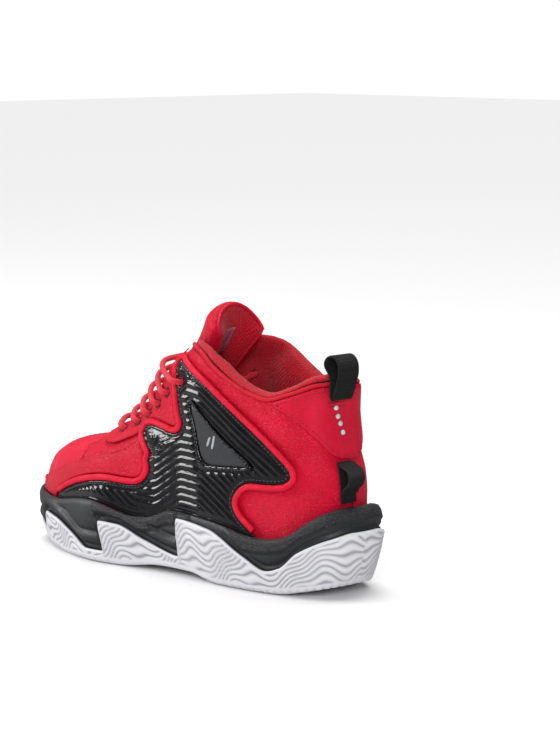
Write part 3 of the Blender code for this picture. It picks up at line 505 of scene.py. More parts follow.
def close_layers(count, faces):
    """Faces of a closed body from a triangulated layer and its copy."""
    sides = np.concatenate([faces[:, [0, 1]], faces[:, [1, 2]], faces[:, [2, 0]]])
    keys = sides[:, 0].astype(np.int64) * count + sides[:, 1]
    back = sides[:, 1].astype(np.int64) * count + sides[:, 0]
    rims = sides[~np.isin(back, keys)]
    body = faces.tolist() + (faces[:, ::-1] + count).tolist()
    return body + [(b, a, count + a, count + b) for a, b in rims.tolist()]


def patch(name, loop, low, high, look, stands_for, slot, holes=(), spacing=3.5, splits=1, roll=1.0,
          relief=None):
    """Closed leather piece with a rolled edge and a relief, between two distances off the foot form."""
    loop = divide(loop, spacing)
    where, faces = triangles(loop, list(holes), scatter(loop, holes, spacing))
    for _ in range(splits):
        where, faces = refine(where, faces)
    places = skin(where)
    edge = skin(divide(loop, 0.7))
    if len(holes):
        edge = join(edge, *[skin(divide(hole, 0.7)) for hole in holes])
    gap = gap_to(places, edge)
    outer = high(where[:, 0], where[:, 1]) if callable(high) else np.full(len(where), float(high))
    inner = low(where[:, 0], where[:, 1]) if callable(low) else np.full(len(where), float(low))
    if relief is not None:
        outer = outer + relief(where[:, 0], where[:, 1], places, gap)
    short = np.clip(1 - gap / max(roll, 1e-6), 0, 1)
    outer = outer - roll * (1 - np.sqrt(1 - short**2)) * 0.9
    points = join(surface(where[:, 0], where[:, 1], outer), surface(where[:, 0], where[:, 1], inner))
    body_faces = close_layers(len(where), faces)
    grain = flatten(where)
    return piece(name, points, body_faces, look, "shoe", stands_for, slot, grain=join(grain, grain))


def ring_faces(first, rows, around, looped=False):
    """Faces between rows of rings, with the ends closed unless the rows loop."""
    faces = []
    for i in range(rows if looped else rows - 1):
        a, b = first + i * around, first + (i + 1) % rows * around
        for k in range(around):
            h = (k + 1) % around
            faces.append((a + k, a + h, b + h, b + k))
    if not looped:
        last = first + (rows - 1) * around
        faces += [tuple(range(first, first + around)), tuple(range(last, last + around))]
    return faces


def sheet_faces(rows, cols):
    """Triangles of a grid of points."""
    a = (np.arange(rows - 1)[:, None] * cols + np.arange(cols - 1)).reshape(-1, 1)
    return np.concatenate([a + [0, 1, cols + 1], a + [0, cols + 1, cols]], 1).reshape(-1, 3)


def frames(path, closed=False):
    """Tangents and a steady side direction along a path."""
    if closed:
        ahead = np.roll(path, -1, 0) - np.roll(path, 1, 0)
    else:
        ahead = np.gradient(path, axis=0)
    ahead = unit(ahead)
    side = np.zeros_like(path)
    first = np.cross(ahead[0], [0.0, 0.0, 1.0])
    side[0] = first / np.linalg.norm(first)
    for i in range(1, len(path)):
        step = side[i - 1] - ahead[i] * (side[i - 1] @ ahead[i])
        side[i] = step / np.linalg.norm(step)
    return ahead, side


def sweep(name, sections, looks, body, stands_for=(), slot=None, closed=False):
    """Closed body from a cross-section ring at each path point."""
    n, m = sections.shape[:2]
    faces = ring_faces(0, n, m, closed)
    centre = sections.mean(1)
    run = run_of(centre)
    round_size = np.linalg.norm(np.diff(sections[0], axis=0), axis=1).sum()
    around = np.abs(np.linspace(-1, 1, m, endpoint=False)) * round_size / 2
    grain = np.stack(np.broadcast_arrays(run[:, None], around[None, :]), -1).reshape(-1, 2)
    return piece(name, sections.reshape(-1, 3), faces, looks, body, stands_for, slot, grain=grain)


def resample(path, step):
    """Smooth path through points, with points one step apart."""
    run = run_of(path)
    at = np.linspace(0, run[-1], int(run[-1] / step) + 1)
    return np.stack([curve(run, path[:, k], at) for k in range(3)], -1)


def relax(path, rounds):
    """Path with its corners softened."""
    for _ in range(rounds):
        path = join(path[:1], (path[:-2] + 2 * path[1:-1] + path[2:]) / 4, path[-1:])
    return path


def tube(name, path, radius, looks, body, stands_for=(), slot=None, sides=12, flat=1.0, normal=None):
    """Round or oval cord along a path, thinner by flat along the given normals."""
    ahead, side = frames(path)
    if normal is not None:
        side = unit(np.cross(normal, ahead))
    up = np.cross(side, ahead)
    a = np.arange(sides) * 2 * np.pi / sides
    around = side[:, None] * np.cos(a)[None, :, None] + up[:, None] * flat * np.sin(a)[None, :, None]
    size = np.broadcast_to(np.asarray(radius, float), len(path))[:, None, None]
    return sweep(name, path[:, None] + size * around, looks, body, stands_for, slot)


def stitches(name, lines, off, look, body="shoe", pitch=3.0, length=2.1, thick=0.5, slot=None):
    """Row of sewn stitches along (turn, height) lines: short threads whose ends dive into the leather."""
    points, faces = [], []
    for line in lines:
        line = even(line, 1.0)
        lift = off(line[:, 0], line[:, 1]) if callable(off) else np.full(len(line), float(off))
        path = surface(line[:, 0], line[:, 1], lift)
        threads(path, facing(line[:, 0], line[:, 1]), pitch, length, thick, points, faces)
    return piece(name, np.array(points), faces, look, body, (), slot)


def threads(path, normals, pitch, length, thick, points, faces):
    """Adds the stitches of one line to a list of points and faces."""
    run = run_of(path)
    ahead = unit(np.gradient(path, axis=0))
    rings, sides = 5, 6
    a = np.arange(sides) * 2 * np.pi / sides
    for at in np.arange(pitch / 2, run[-1], pitch):
        centre = np.array([np.interp(at, run, path[:, k]) for k in range(3)])
        along = unit(np.array([np.interp(at, run, ahead[:, k]) for k in range(3)]))
        up = unit(np.array([np.interp(at, run, normals[:, k]) for k in range(3)]))
        side = np.cross(along, up)
        first = len(points)
        for t in np.linspace(-1, 1, rings):
            middle = centre + along * t * length / 2 + up * thick * (0.35 - 0.9 * t**2)
            size = thick * (1 - 0.35 * t**2)
            for b in a:
                points.append(middle + size * (np.cos(b) * side * 0.75 + np.sin(b) * up * 0.6))
        faces += ring_faces(first, rings, sides)


# ---------------------------------------------------------------- materials

class Nodes:
    """Small helper to build a node material."""

    def __init__(self, name, colour, roughness, **fixed):
        self.material = bpy.data.materials.new(name)
        self.material.use_nodes = True
        self.tree = self.material.node_tree
        self.shader = self.tree.nodes["Principled BSDF"]
        self.shader.inputs["Base Color"].default_value = (*colour, 1)
        self.shader.inputs["Roughness"].default_value = roughness
        for key, value in fixed.items():
            self.shader.inputs[key.replace("_", " ")].default_value = value
        self.place = self.add("ShaderNodeTexCoord").outputs["Object"]
        self.height = None

    def add(self, kind, inputs=None, **settings):
        node = self.tree.nodes.new(kind)
        for key, value in settings.items():
            setattr(node, key, value)
        for key, value in (inputs or {}).items():
            if isinstance(value, bpy.types.NodeSocket):
                self.tree.links.new(value, node.inputs[key])
            else:
                node.inputs[key].default_value = value
        return node

    def grain(self):
        """Pattern coordinates of the mesh."""
        return self.add("ShaderNodeUVMap", uv_map="grain").outputs["UV"]

    def noise(self, scale, detail=3.0, where=None, roughness=0.5):
        inputs = {"Vector": where or self.place, "Scale": scale, "Detail": detail, "Roughness": roughness}
        return self.add("ShaderNodeTexNoise", inputs).outputs["Fac"]

    def cells(self, scale, feature="DISTANCE_TO_EDGE", where=None):
        return self.add("ShaderNodeTexVoronoi", {"Vector": where or self.place, "Scale": scale},
                        feature=feature).outputs["Distance"]

    def wave(self, scale, direction="X", where=None, distortion=0.0, profile="SIN", detail_scale=1.0):
        inputs = {"Vector": where or self.place, "Scale": scale, "Distortion": distortion, "Detail": 1.0,
                  "Detail Scale": detail_scale}
        return self.add("ShaderNodeTexWave", inputs, bands_direction=direction,
                        wave_profile=profile).outputs["Fac"]

    def turned(self, where, angle):
        """Pattern coordinates turned about Z."""
        node = self.add("ShaderNodeMapping", {"Vector": where, "Rotation": (0.0, 0.0, angle)})
        return node.outputs["Vector"]

    def math(self, operation, a, b=0.0):
        return self.add("ShaderNodeMath", {0: a, 1: b}, operation=operation).outputs[0]

    def spread(self, value, low, high, to_low=0.0, to_high=1.0):
        inputs = {"Value": value, "From Min": low, "From Max": high, "To Min": to_low, "To Max": to_high}
        return self.add("ShaderNodeMapRange", inputs).outputs["Result"]

    def bump(self, height, distance, strength=1.0):
        """Adds a bump layer whose height is in metres."""
        inputs = {"Height": height, "Distance": distance, "Strength": strength}
        if self.height is not None:
            inputs["Normal"] = self.height
        self.height = self.add("ShaderNodeBump", inputs).outputs["Normal"]
        self.tree.links.new(self.height, self.shader.inputs["Normal"])

    def colour(self, share, low, high):
        """Base colour between two colours by a share."""
        mixed = self.add("ShaderNodeMix", {"Factor": share}, data_type="RGBA")
        mixed.inputs[6].default_value = (*low, 1)
        mixed.inputs[7].default_value = (*high, 1)
        self.tree.links.new(mixed.outputs[2], self.shader.inputs["Base Color"])

    def rough(self, value):
        self.tree.links.new(value, self.shader.inputs["Roughness"])


def leather(name, low, high, grain=1.0):
    """Fine pebbled leather with soft creases and slight wear in its sheen."""
    n = Nodes(name, high, 0.4, Specular_IOR_Level=0.2)
    n.colour(n.spread(n.noise(60, 4), 0.3, 0.7), low, high)
    n.rough(n.spread(n.noise(140, 3), 0.3, 0.7, 0.36, 0.5))
    n.bump(n.noise(260, 4, roughness=0.6), 0.0005, 0.4)
    n.bump(n.spread(n.cells(700), 0.0, 0.2), 0.0004 * grain, 0.9)
    return n.material


def crosshatch_leather(name, low, high):
    """Leather embossed with a fine crossing weave."""
    n = Nodes(name, high, 0.38, Specular_IOR_Level=0.2)
    where = n.grain()
    n.colour(n.spread(n.noise(60, 4), 0.3, 0.7), low, high)
    one = n.wave(260, "X", n.turned(where, 0.15), 1.2, detail_scale=2)
    two = n.wave(260, "Y", n.turned(where, 0.15), 1.2, detail_scale=2)
    n.bump(n.math("MINIMUM", one, two), 0.00025, 0.8)
    n.rough(n.spread(n.noise(140, 3), 0.3, 0.7, 0.34, 0.48))
    return n.material


def patent():
    """Glossy black patent with faint unevenness and dust-like roughness change."""
    gloss = {"Specular_IOR_Level": 0.35, "Coat_Weight": 0.2, "Coat_Roughness": 0.05}
    n = Nodes("black_patent", (0.003, 0.003, 0.004), 0.16, **gloss)
    n.colour(n.spread(n.noise(90, 3), 0.3, 0.7), (0.003, 0.003, 0.004), (0.008, 0.008, 0.010))
    n.rough(n.spread(n.noise(220, 4), 0.3, 0.75, 0.10, 0.22))
    n.bump(n.noise(420, 3), 0.00012, 0.35)
    return n.material


def knit(name, low, high, scale=1150.0):
    """Sports mesh: rows of small round openings between knitted yarns, the openings darkened by painted
    shade.
    """
    n = Nodes(name, high, 0.85, Specular_IOR_Level=0.25, Sheen_Weight=0.15, Sheen_Roughness=0.4)
    where = n.grain()
    one = n.wave(scale / 6.28, "X", n.turned(where, 0.785), 0.0)
    two = n.wave(scale / 6.28, "Y", n.turned(where, 0.785), 0.0)
    hole = n.math("MULTIPLY", one, two)
    # Base colour darker in the openings: painted shade.
    n.colour(n.spread(hole, 0.35, 0.8, 1.0, 0.0), low, high)
    n.bump(n.spread(hole, 0.2, 0.9, 1.0, 0.0), 0.0008, 0.9)
    n.bump(n.wave(scale * 1.3, "Y", where, 1.0), 0.0001, 0.3)
    return n.material


def woven(name, low, high, rib=520.0, across=1500.0, roughness=0.8, depth=0.00035, swap=False):
    """Webbing or cord: ribs across the run, crossed by fine yarns, with painted shade darkening the low
    parts of the weave.
    """
    n = Nodes(name, high, roughness, Specular_IOR_Level=0.3)
    where = n.grain()
    ribs = n.wave(rib, "Y" if swap else "X", where, 0.3)
    yarns = n.wave(across, "X" if swap else "Y", where, 0.6)
    height = n.math("ADD", ribs, n.math("MULTIPLY", yarns, 0.35))
    # Base colour darker where the weave is low: painted shade.
    n.colour(n.spread(height, 0.1, 1.2), low, high)
    n.bump(height, depth, 0.8)
    return n.material


def braid(name, low, high):
    """Braided lace: two families of slanting yarns, with painted shade between them."""
    n = Nodes(name, high, 0.75, Specular_IOR_Level=0.3, Sheen_Weight=0.15)
    where = n.grain()
    one = n.wave(330, "X", n.turned(where, 0.75), 0.3)
    two = n.wave(330, "X", n.turned(where, -0.75), 0.3)
    height = n.math("MAXIMUM", one, two)
    # Base colour darker between the yarns: painted shade.
    n.colour(n.spread(height, 0.45, 1.0), low, high)
    n.bump(height, 0.0004, 0.9)
    return n.material


def foam_rubber():
    """Matte moulded midsole foam with fine skin texture."""
    n = Nodes("charcoal_foam", (0.02, 0.021, 0.024), 0.5)
    n.colour(n.spread(n.noise(50, 3), 0.3, 0.7), (0.014, 0.015, 0.018), (0.022, 0.023, 0.027))
    n.rough(n.spread(n.noise(300, 3), 0.3, 0.7, 0.46, 0.62))
    n.bump(n.noise(1500, 2), 0.0001, 0.4)
    return n.material


def pebbled_foam():
    """The textured band of the midsole, with painted shade in the crevices between its pebbles."""
    n = Nodes("pebbled_foam", (0.03, 0.031, 0.036), 0.5)
    # Base colour darker at the cell edges, the crevices of the bump: painted shade.
    n.colour(n.spread(n.cells(700), 0.0, 0.25), (0.006, 0.006, 0.008), (0.026, 0.027, 0.031))
    n.bump(n.spread(n.cells(700), 0.0, 0.25), 0.0004, 0.9)
    return n.material


def rubber():
    """White outsole rubber, greyed in its grooves by painted shade."""
    n = Nodes("white_rubber", (0.72, 0.72, 0.76), 0.42)
    # The raised share from the outsole greys the base colour down in the grooves: painted shade, under a
    # faint random cloudiness.
    raised = n.add("ShaderNodeAttribute", attribute_name="raised").outputs["Fac"]
    cloudy = n.spread(n.noise(70, 3), 0.3, 0.7, 0.92, 1.0)
    n.colour(n.math("MULTIPLY", raised, cloudy), (0.30, 0.30, 0.34), (0.66, 0.66, 0.69))
    n.rough(n.spread(n.noise(400, 3), 0.3, 0.7, 0.36, 0.5))
    n.bump(n.noise(1800, 2), 0.00006, 0.4)
    return n.material


def plain(name, colour, roughness, scale=600.0, depth=0.0001, **fixed):
    """Simple moulded, foamed or pressed material with a fine grain."""
    n = Nodes(name, colour, roughness, **fixed)
    dark = tuple(0.82 * c for c in colour)
    n.colour(n.spread(n.noise(scale / 6, 3), 0.3, 0.7), dark, colour)
    n.bump(n.noise(scale, 3), depth, 0.5)
    return n.material


def make_looks():
    return {
        "leather": leather("red_leather", (0.56, 0.001, 0.022), (0.66, 0.002, 0.032)),
        "vamp": leather("vamp_leather", (0.60, 0.004, 0.028), (0.70, 0.008, 0.040), 0.7),
        "overlay": leather("overlay_leather", (0.50, 0.001, 0.018), (0.60, 0.002, 0.026), 0.6),
        "piping": leather("piping_leather", (0.60, 0.001, 0.022), (0.70, 0.003, 0.034), 0.6),
        "tab": crosshatch_leather("heel_tab_leather", (0.52, 0.001, 0.022), (0.62, 0.002, 0.032)),
        "patent": patent(),
        "knit": knit("red_mesh", (0.20, 0.0003, 0.005), (0.52, 0.001, 0.014)),
        "binding": woven("collar_binding", (0.48, 0.001, 0.012), (0.68, 0.002, 0.024), 620, 1400, 0.7,
                         0.0002),
        "lace": braid("red_lace", (0.50, 0.001, 0.018), (0.76, 0.006, 0.036)),
        "thread": plain("red_thread", (0.56, 0.006, 0.024), 0.6, 2500),
        "dark_thread": plain("dark_red_thread", (0.20, 0.002, 0.008), 0.6, 2500),
        "black_thread": plain("black_thread", (0.05, 0.05, 0.055), 0.4, 2500),
        "webbing": woven("black_webbing", (0.004, 0.004, 0.005), (0.018, 0.018, 0.02), 420, 1700, 0.75,
                         0.0005),
        "strap": woven("black_strap", (0.006, 0.006, 0.007), (0.016, 0.016, 0.018), 1500, 1500, 0.5,
                       0.0001),
        "badge": plain("badge_charcoal", (0.030, 0.031, 0.036), 0.42, 1500, 0.00005),
        "mark": plain("badge_mark", (0.42, 0.42, 0.44), 0.3, 1500, 0.00003),
        "foam": foam_rubber(),
        "pebble": pebbled_foam(),
        "rubber": rubber(),
        "cream": plain("cream_foam", (0.6, 0.55, 0.42), 0.9, 1200, 0.0003),
        "stiff": plain("grey_plastic", (0.3, 0.3, 0.3), 0.55),
        "board": plain("fibre_board", (0.55, 0.5, 0.42), 0.9, 900, 0.0002),
        "label": plain("pink_label", (0.42, 0.09, 0.15), 0.6, 1800, 0.00008),
        "ink": plain("label_print", (0.22, 0.03, 0.06), 0.6, 1800, 0.00002),
        "dot": plain("mint_reflector", (0.50, 0.62, 0.56), 0.25, 3000, 0.00005, Coat_Weight=0.5),
        "tip": plain("red_plastic", (0.5, 0.05, 0.08), 0.3, 900, 0.00003),
        # Dark red of the toe perforation discs: painted shade standing in for the holes.
        "hole": plain("painted_hole_shade", (0.10, 0.001, 0.004), 0.8, 900, 0.00003),
    }


# ---------------------------------------------------------------- camera, floor and light

def make_stage():
    scene = bpy.context.scene
    azimuth, elevation = np.radians(CAMERA_AZIMUTH), np.radians(CAMERA_ELEVATION)
    level = np.cos(elevation)
    back = np.array([np.sin(azimuth) * level, -np.cos(azimuth) * level, np.sin(elevation)])
    right = np.array([np.cos(azimuth), np.sin(azimuth), 0.0])
    up = np.cross(back, right)
    aim = VIEW_CENTRE + AIM_RIGHT * right + AIM_UP * up
    place = VIEW_CENTRE + CAMERA_DISTANCE * back
    data = bpy.data.cameras.new("camera")
    data.lens = CAMERA_LENS
    data.sensor_width = 36.0
    data.clip_start = 0.05
    camera = bpy.data.objects.new("camera", data)
    camera.location = place.tolist()
    camera.rotation_mode = "QUATERNION"
    camera.rotation_quaternion = Vector((aim - place).tolist()).to_track_quat("-Z", "Y")
    scene.collection.objects.link(camera)
    scene.camera = camera

    n = Nodes("pale_floor", (0.86, 0.86, 0.86), 0.6)
    # The floor's colour drops to dark grey for glossy rays only, so glossy surfaces reflect a darker floor:
    # painted shade in reflections.
    mirrored = n.add("ShaderNodeLightPath").outputs["Is Glossy Ray"]
    n.colour(mirrored, (0.86, 0.86, 0.86), (0.2, 0.2, 0.2))
    mesh = bpy.data.meshes.new("floor")
    mesh.from_pydata([(-8, -8, 0), (8, -8, 0), (8, 8, 0), (-8, 8, 0)], [], [(0, 1, 2, 3)])
    mesh.materials.append(n.material)
    floor = bpy.data.objects.new("floor", mesh)
    scene.collection.objects.link(floor)

    scene.view_settings.view_transform = "Standard"
    world = bpy.data.worlds.new("studio")
    world.use_nodes = True
    nodes, links = world.node_tree.nodes, world.node_tree.links
    seen = nodes.new("ShaderNodeLightPath")
    strength = nodes.new("ShaderNodeMapRange")
    strength.inputs["To Min"].default_value = 0.13
    strength.inputs["To Max"].default_value = 1.0
    links.new(seen.outputs["Is Camera Ray"], strength.inputs["Value"])
    links.new(strength.outputs["Result"], nodes["Background"].inputs["Strength"])
    nodes["Background"].inputs["Color"].default_value = (1, 1, 1, 1)
    scene.world = world
    sky = bpy.data.lights.new("overhead", "SUN")
    sky.energy = 3.1
    sky.angle = np.radians(50)
    overhead = bpy.data.objects.new("overhead", sky)
    overhead.rotation_euler = (np.radians(-12), np.radians(-10), 0)
    scene.collection.objects.link(overhead)
    lamp("left", (-1.5, -1.0, 0.9), 0.9, 26)
    lamp("right", (1.3, -1.2, 0.8), 0.8, 20)


def lamp(name, place, size, power):
    data = bpy.data.lights.new(name, "AREA")
    data.energy = power
    data.size = size
    made = bpy.data.objects.new(name, data)
    made.location = place
    made.rotation_mode = "QUATERNION"
    made.rotation_quaternion = (Vector((0, 0, 0.08)) - Vector(place)).to_track_quat("-Z", "Y")
    bpy.context.scene.collection.objects.link(made)


# ---------------------------------------------------------------- sole

def sole_face(s, z, off):
    """Outer face of the sole at turn s and height z, moved out by off."""
    base = ring(s, np.clip(z, 8, 60))
    height = np.maximum(z - ground(base[..., 0]), 0)
    reach = curve(FLARE_S, FLARE, fold(s)) * curve(WALL_H, WALL_SHARE, height)
    face = base + outward(s, np.clip(z, 8, 60)) * (reach + off)[..., None]
    face[..., 2] = z
    return face


def slanted(s, height):
    return s + LOBE_SLANT * np.sin(2 * np.pi * s) * (height - 10)


def edge_run(s):
    """Length along the sole's side at each turn."""
    line = sole_face(s, np.full(len(s), 20.0), np.zeros(len(s)))
    steps = np.linalg.norm(np.diff(join(line, line[:1]), axis=0), axis=1)
    return np.concatenate([[0], np.cumsum(steps)[:-1]])


def ribbed(phase, sharpness=0.55):
    """Rounded ribs with narrow grooves: 0 in a groove, 1 on a rib."""
    return np.abs(np.sin(np.pi * phase)) ** sharpness


def wave_field(u, v):
    """Flowing contour pattern of the outsole, in periods."""
    wander = 4.6 * np.sin(u / 9.0 + 0.06 * v) + 1.5 * np.sin(u / 4.3 - 0.12 * v + 1.0)
    return (0.85 * v + 0.3 * u + wander) / GROOVE_PERIOD


def turn_columns(step):
    """Turns of fine sole columns, even along the side, with the same turns on both sides."""
    s = np.linspace(0, 0.5, 2001)
    line = sole_face(s, np.full(len(s), 20.0), np.zeros(len(s)))
    run = run_of(line)
    half = np.interp(np.linspace(0, run[-1], int(run[-1] / step) + 1), run, s)
    return np.concatenate([half, 1 - half[-2:0:-1]])


def lid(rings, edge_index, height, steps, points, faces, relief=None):
    """Grid between the two sides of a sole ring."""
    edge = rings[edge_index]
    n = len(edge)
    half = n // 2
    first = edge_index * n
    rows = {0: [first], half: [first + half]}
    for i in range(1, half):
        t = np.linspace(0, 1, steps + 1)[1:-1, None]
        line = edge[i] + (edge[n - i] - edge[i]) * t
        line[:, 2] = height(line[:, 0])
        if relief is not None:
            line[:, 2] += relief(line) * np.minimum(1, np.minimum(t[:, 0], 1 - t[:, 0]) * 12)
        rows[i] = [first + i, *range(len(points), len(points) + len(line)), first + n - i]
        points.extend(line)
    for i in range(half):
        a, b = rows[i], rows[i + 1]
        if len(a) == 1:
            faces += [(a[0], b[k], b[k + 1]) for k in range(len(b) - 1)]
        elif len(b) == 1:
            faces += [(a[k], b[0], a[k + 1]) for k in range(len(a) - 1)]
        else:
            faces += [(a[k], b[k], b[k + 1], a[k + 1]) for k in range(len(a) - 1)]


def vessel(name, rings, under, over, looks, node, slot, steps=4, under_relief=None, row_look=None):
    """Closed body from stacked rings with a filled underside and a filled top."""
    n = len(rings[0])
    points = [p for r in rings for p in r]
    faces, face_look = [], []
    for j in range(len(rings) - 1):
        for i in range(n):
            h = (i + 1) % n
            faces.append((j * n + i, j * n + h, (j + 1) * n + h, (j + 1) * n + i))
            face_look.append(0 if row_look is None else int(row_look[j, i]))
    lid(rings, 0, under, steps, points, faces, under_relief)
    lid(rings, len(rings) - 1, over, 6, points, faces)
    face_look += [0] * (len(faces) - len(face_look))
    return piece(name, np.array(points), faces, looks, "shoe", [node], slot, face_look)


def build_outsole(look):
    """Rubber cup with lobed, grooved side walls and a notched lower edge, and a raised share on its points
    that paints shade into the grooves.
    """
    s = turn_columns(OUTSOLE_STEP)
    run = edge_run(s)
    foot = ground(ring(s, 20)[..., 0])
    top = np.maximum(lobe(s), foot + OUTSOLE_FLOOR + 2.5)
    rings, raised = [], [np.ones(len(s))]
    bottom = sole_face(slanted(s, foot), foot, -2.5 + 0 * s)
    bottom[:, 2] = ground(bottom[:, 0])
    rings.append(bottom)
    for share in np.linspace(0, 1, OUTSOLE_ROWS):
        level = foot + 1.2 + (top - foot - 1.2) * share
        room = np.minimum(top - level, level - foot - 3.0)
        inset = smooth((room - 1.2) / 1.6)
        valley = (1 - ribbed(wave_field(run, level), 0.6)) * inset
        # Share of the point out of a groove, used by the rubber's colour to paint shade into the grooves.
        raised.append(1 - smooth(valley * 1.4))
        depth = -GROOVE_DEPTH * valley
        depth += -0.5 * smooth((level - top + 1.2) / 1.2)
        notch = smooth((np.sin(run * 2 * np.pi / 6.2) - 0.35) / 0.4) * smooth((foot + 3.4 - level) / 1.0)
        tread = smooth((ring(s, 20)[..., 0] + 25) / -15) + smooth((ring(s, 20)[..., 0] - 60) / 15)
        rings.append(sole_face(slanted(s, level), level, depth - 1.5 * notch * np.clip(tread, 0, 1)))
    shelf = foot + OUTSOLE_FLOOR
    for share in (1.0, 0.5, 0.0):
        level = shelf + (top - shelf) * share
        rings.append(sole_face(slanted(s, level), level, -OUTSOLE_WALL + 0 * s))
    rings[-1][:, 2] = ground(rings[-1][:, 0]) + OUTSOLE_FLOOR

    def tread_pattern(line):
        phase = (line[:, 0] + 5.5 * np.abs(((line[:, 1] / 11.0) % 2) - 1) * 2) / 6.5
        return 1.6 * (1 - ribbed(phase, 0.5))

    made = vessel("outsole_rubber", rings, ground, lambda x: ground(x) + OUTSOLE_FLOOR, look["rubber"],
                  "outsole", "white_rubber", TREAD_STEPS, tread_pattern)
    # Raised share as a point attribute, read by the rubber material to paint shade in the grooves.
    share = made.data.attributes.new("raised", "FLOAT", "POINT")
    values = np.ones(len(made.data.vertices), np.float32)
    values[:len(s) * len(raised)] = np.concatenate(raised)
    share.data.foreach_set("value", values)


def midsole_relief(s, level, top):
    """Sculpted flame lobes, a groove under the rim and a hollow above the rubber's edge."""
    above = level - np.maximum(lobe(s - 0.00036 * np.sin(2 * np.pi * s) * (level - 10)), 0)
    side = fold(s)
    front = smooth((side - 0.19) / 0.03)
    hollow = -2.3 * np.exp(-((above - 3.2) / 1.6) ** 2)
    ridge = 1.3 * np.exp(-((above - 8.0) / 2.6) ** 2) * front
    second = -2.0 * np.exp(-((above - 13.5) / 1.5) ** 2) * front * smooth((top - level - 4) / 4)
    under_rim = -1.9 * np.exp(-((top - level - 10.5) / 1.3) ** 2) * (1 - smooth((side - 0.27) / 0.04))
    lower_step = -1.2 * smooth((top - level - 10.5) / 2.0) * (1 - smooth((side - 0.27) / 0.04))
    return hollow + ridge + second + under_rim + lower_step


def build_midsole(look):
    """Foam cup with a sculpted outside, a rounded rim and a floor for the insole."""
    s = turn_columns(MIDSOLE_STEP)
    reach = -OUTSOLE_WALL - CEMENT
    low = ground(ring(s, 20)[..., 0]) + OUTSOLE_FLOOR + CEMENT
    top = rim(s)
    rings = [sole_face(s, low, reach - 3.0 + 0 * s)]
    textured = []
    for share in np.linspace(0.06, 1, MIDSOLE_ROWS):
        level = low + (top - 3 - low) * share
        hidden = smooth((level - lobe(s) - 0.5) / 1.5)
        relief = midsole_relief(s, level, top) * hidden
        lift = 1.9 * hidden
        rings.append(sole_face(s, level, reach + relief + lift - 0.4 * (1 - hidden)))
        band = (top - level < 9.5) & (fold(s) < 0.3)
        textured.append(band & (level > lobe(s) + 3))
    outer = rings[-1].copy()
    inner = surface(s, top - 1.0, 2.8 + 0 * s)
    for t in (0.25, 0.5, 0.75):
        crest = outer + (inner - outer) * t
        crest[:, 2] = top - 3 + 3 * np.sin(np.pi / 2 * min(1, 0.4 + t))
        rings.append(crest)
        textured.append((fold(s) < 0.3) & (t < 0.6))
    rings.append(inner)
    floor_z = floor_height(ring(s, 20)[..., 0])
    rings.append(surface(s, top - 2.0, 0.8 + 0 * s))
    for share in (0.5, 0.0):
        level = floor_z + (top - floor_z) * share
        rings.append(ring(s, level) + outward(s, level) * 0.8)
    rings[0][:, 2] = ground(rings[0][:, 0]) + OUTSOLE_FLOOR + CEMENT
    rings[-1][:, 2] = floor_height(rings[-1][:, 0])
    row_look = np.zeros((len(rings) - 1, len(s)), int)
    for j, row in enumerate(textured):
        row_look[j + 1 if j + 1 < len(row_look) else j] = row
    vessel("midsole_foam", rings, lambda x: ground(x) + OUTSOLE_FLOOR + CEMENT, floor_height,
           [look["foam"], look["pebble"]], "midsole", "charcoal_foam", 4, None, row_look)


def build_sockliner(look):
    """Crowned insole with a fabric top."""
    s = turn_columns(4.0)
    edge = ring(s, base_edge(s)) - outward(s, base_edge(s)) * 6.9
    rings = []
    for inset, lift in ((0.3, 4.1), (0.0, 4.6), (0.0, 6.6), (0.5, 7.4), (2.5, 8.0)):
        one = edge - outward(s, base_edge(s)) * inset
        one[:, 2] = floor_height(edge[:, 0]) + lift
        rings.append(one)
    pad = vessel("insole", rings, lambda x: floor_height(x) + 4.1, lambda x: floor_height(x) + 8.0,
                 look["insole"], "sockliner", "cream_foam", 6)


# ---------------------------------------------------------------- upper

def collar_share(s, z):
    """How much of the collar padding is present."""
    rising = smooth((z - topline(s) + COLLAR_BAND + 6) / 12)
    return rising * smooth((0.305 - fold(s)) / 0.05)


def lining_out(s, z):
    return -LINING_OUT - FOAM_DEPTH * collar_share(s, z)


def lining_in(s, z):
    return lining_out(s, z) - LINING_THICK


def throat_rail(z_from, z_to, inset=0.0):
    z = np.linspace(z_from, z_to, 12)
    return np.stack([curve(THROAT_Z, THROAT_S, z) - inset, z], -1)


def seam_line(shift):
    line = ease(np.array(SEAM), 3)
    start = np.array([[SEAM[0][0], float(base_edge(SEAM[0][0]))]])
    return join(start, line) + np.array([shift, 0.0])


def quarter_loop(heel):
    return join(
        rail(heel, 0.384, lambda s: topline(s) - 0.4, 60),
        throat_rail(157, 90.3, 0.0012),
        seam_line(-0.0015)[::-1],
        rail(0.33, heel, base_edge, 30),
    )


def vamp_loop():
    lateral = seam_line(0.0)
    heights = np.array([89.2, 88.5, 87.8, 87.2, 86.8])
    u_left = np.stack([curve(THROAT_Z, THROAT_S, heights), heights], -1)
    u_right = np.stack([1 - u_left[:, 0], u_left[:, 1]], -1)[::-1]
    medial = np.stack([1 - lateral[:, 0], lateral[:, 1]], -1)[::-1]
    low = rail(0.665, 0.335, base_edge, 40)
    return join(lateral[:-1], u_left, np.array([[0.5, 86.4]]), u_right, medial[1:], low)


def eyelet(s, z, radius):
    """Round hole outline on the foot form."""
    a = np.arange(14)[:, None] * np.pi / 7
    level = unit(slopes(s, z)[0])
    across = np.cross(facing(s, z), level)
    move = radius * (np.cos(a) * level + np.sin(a) * across)
    return np.array([s, z]) + to_pattern(s, z, move)


def eyelets(rows, radius=EYELET_R):
    return [eyelet(EYELET_S[k], EYELET_Z[k], radius) for k in rows]


def panel_edge():
    """Front, top and rear edge of the side panel."""
    return even(ease(side_line(PANEL_FRONT + PANEL_REAR), 3), 1.5)


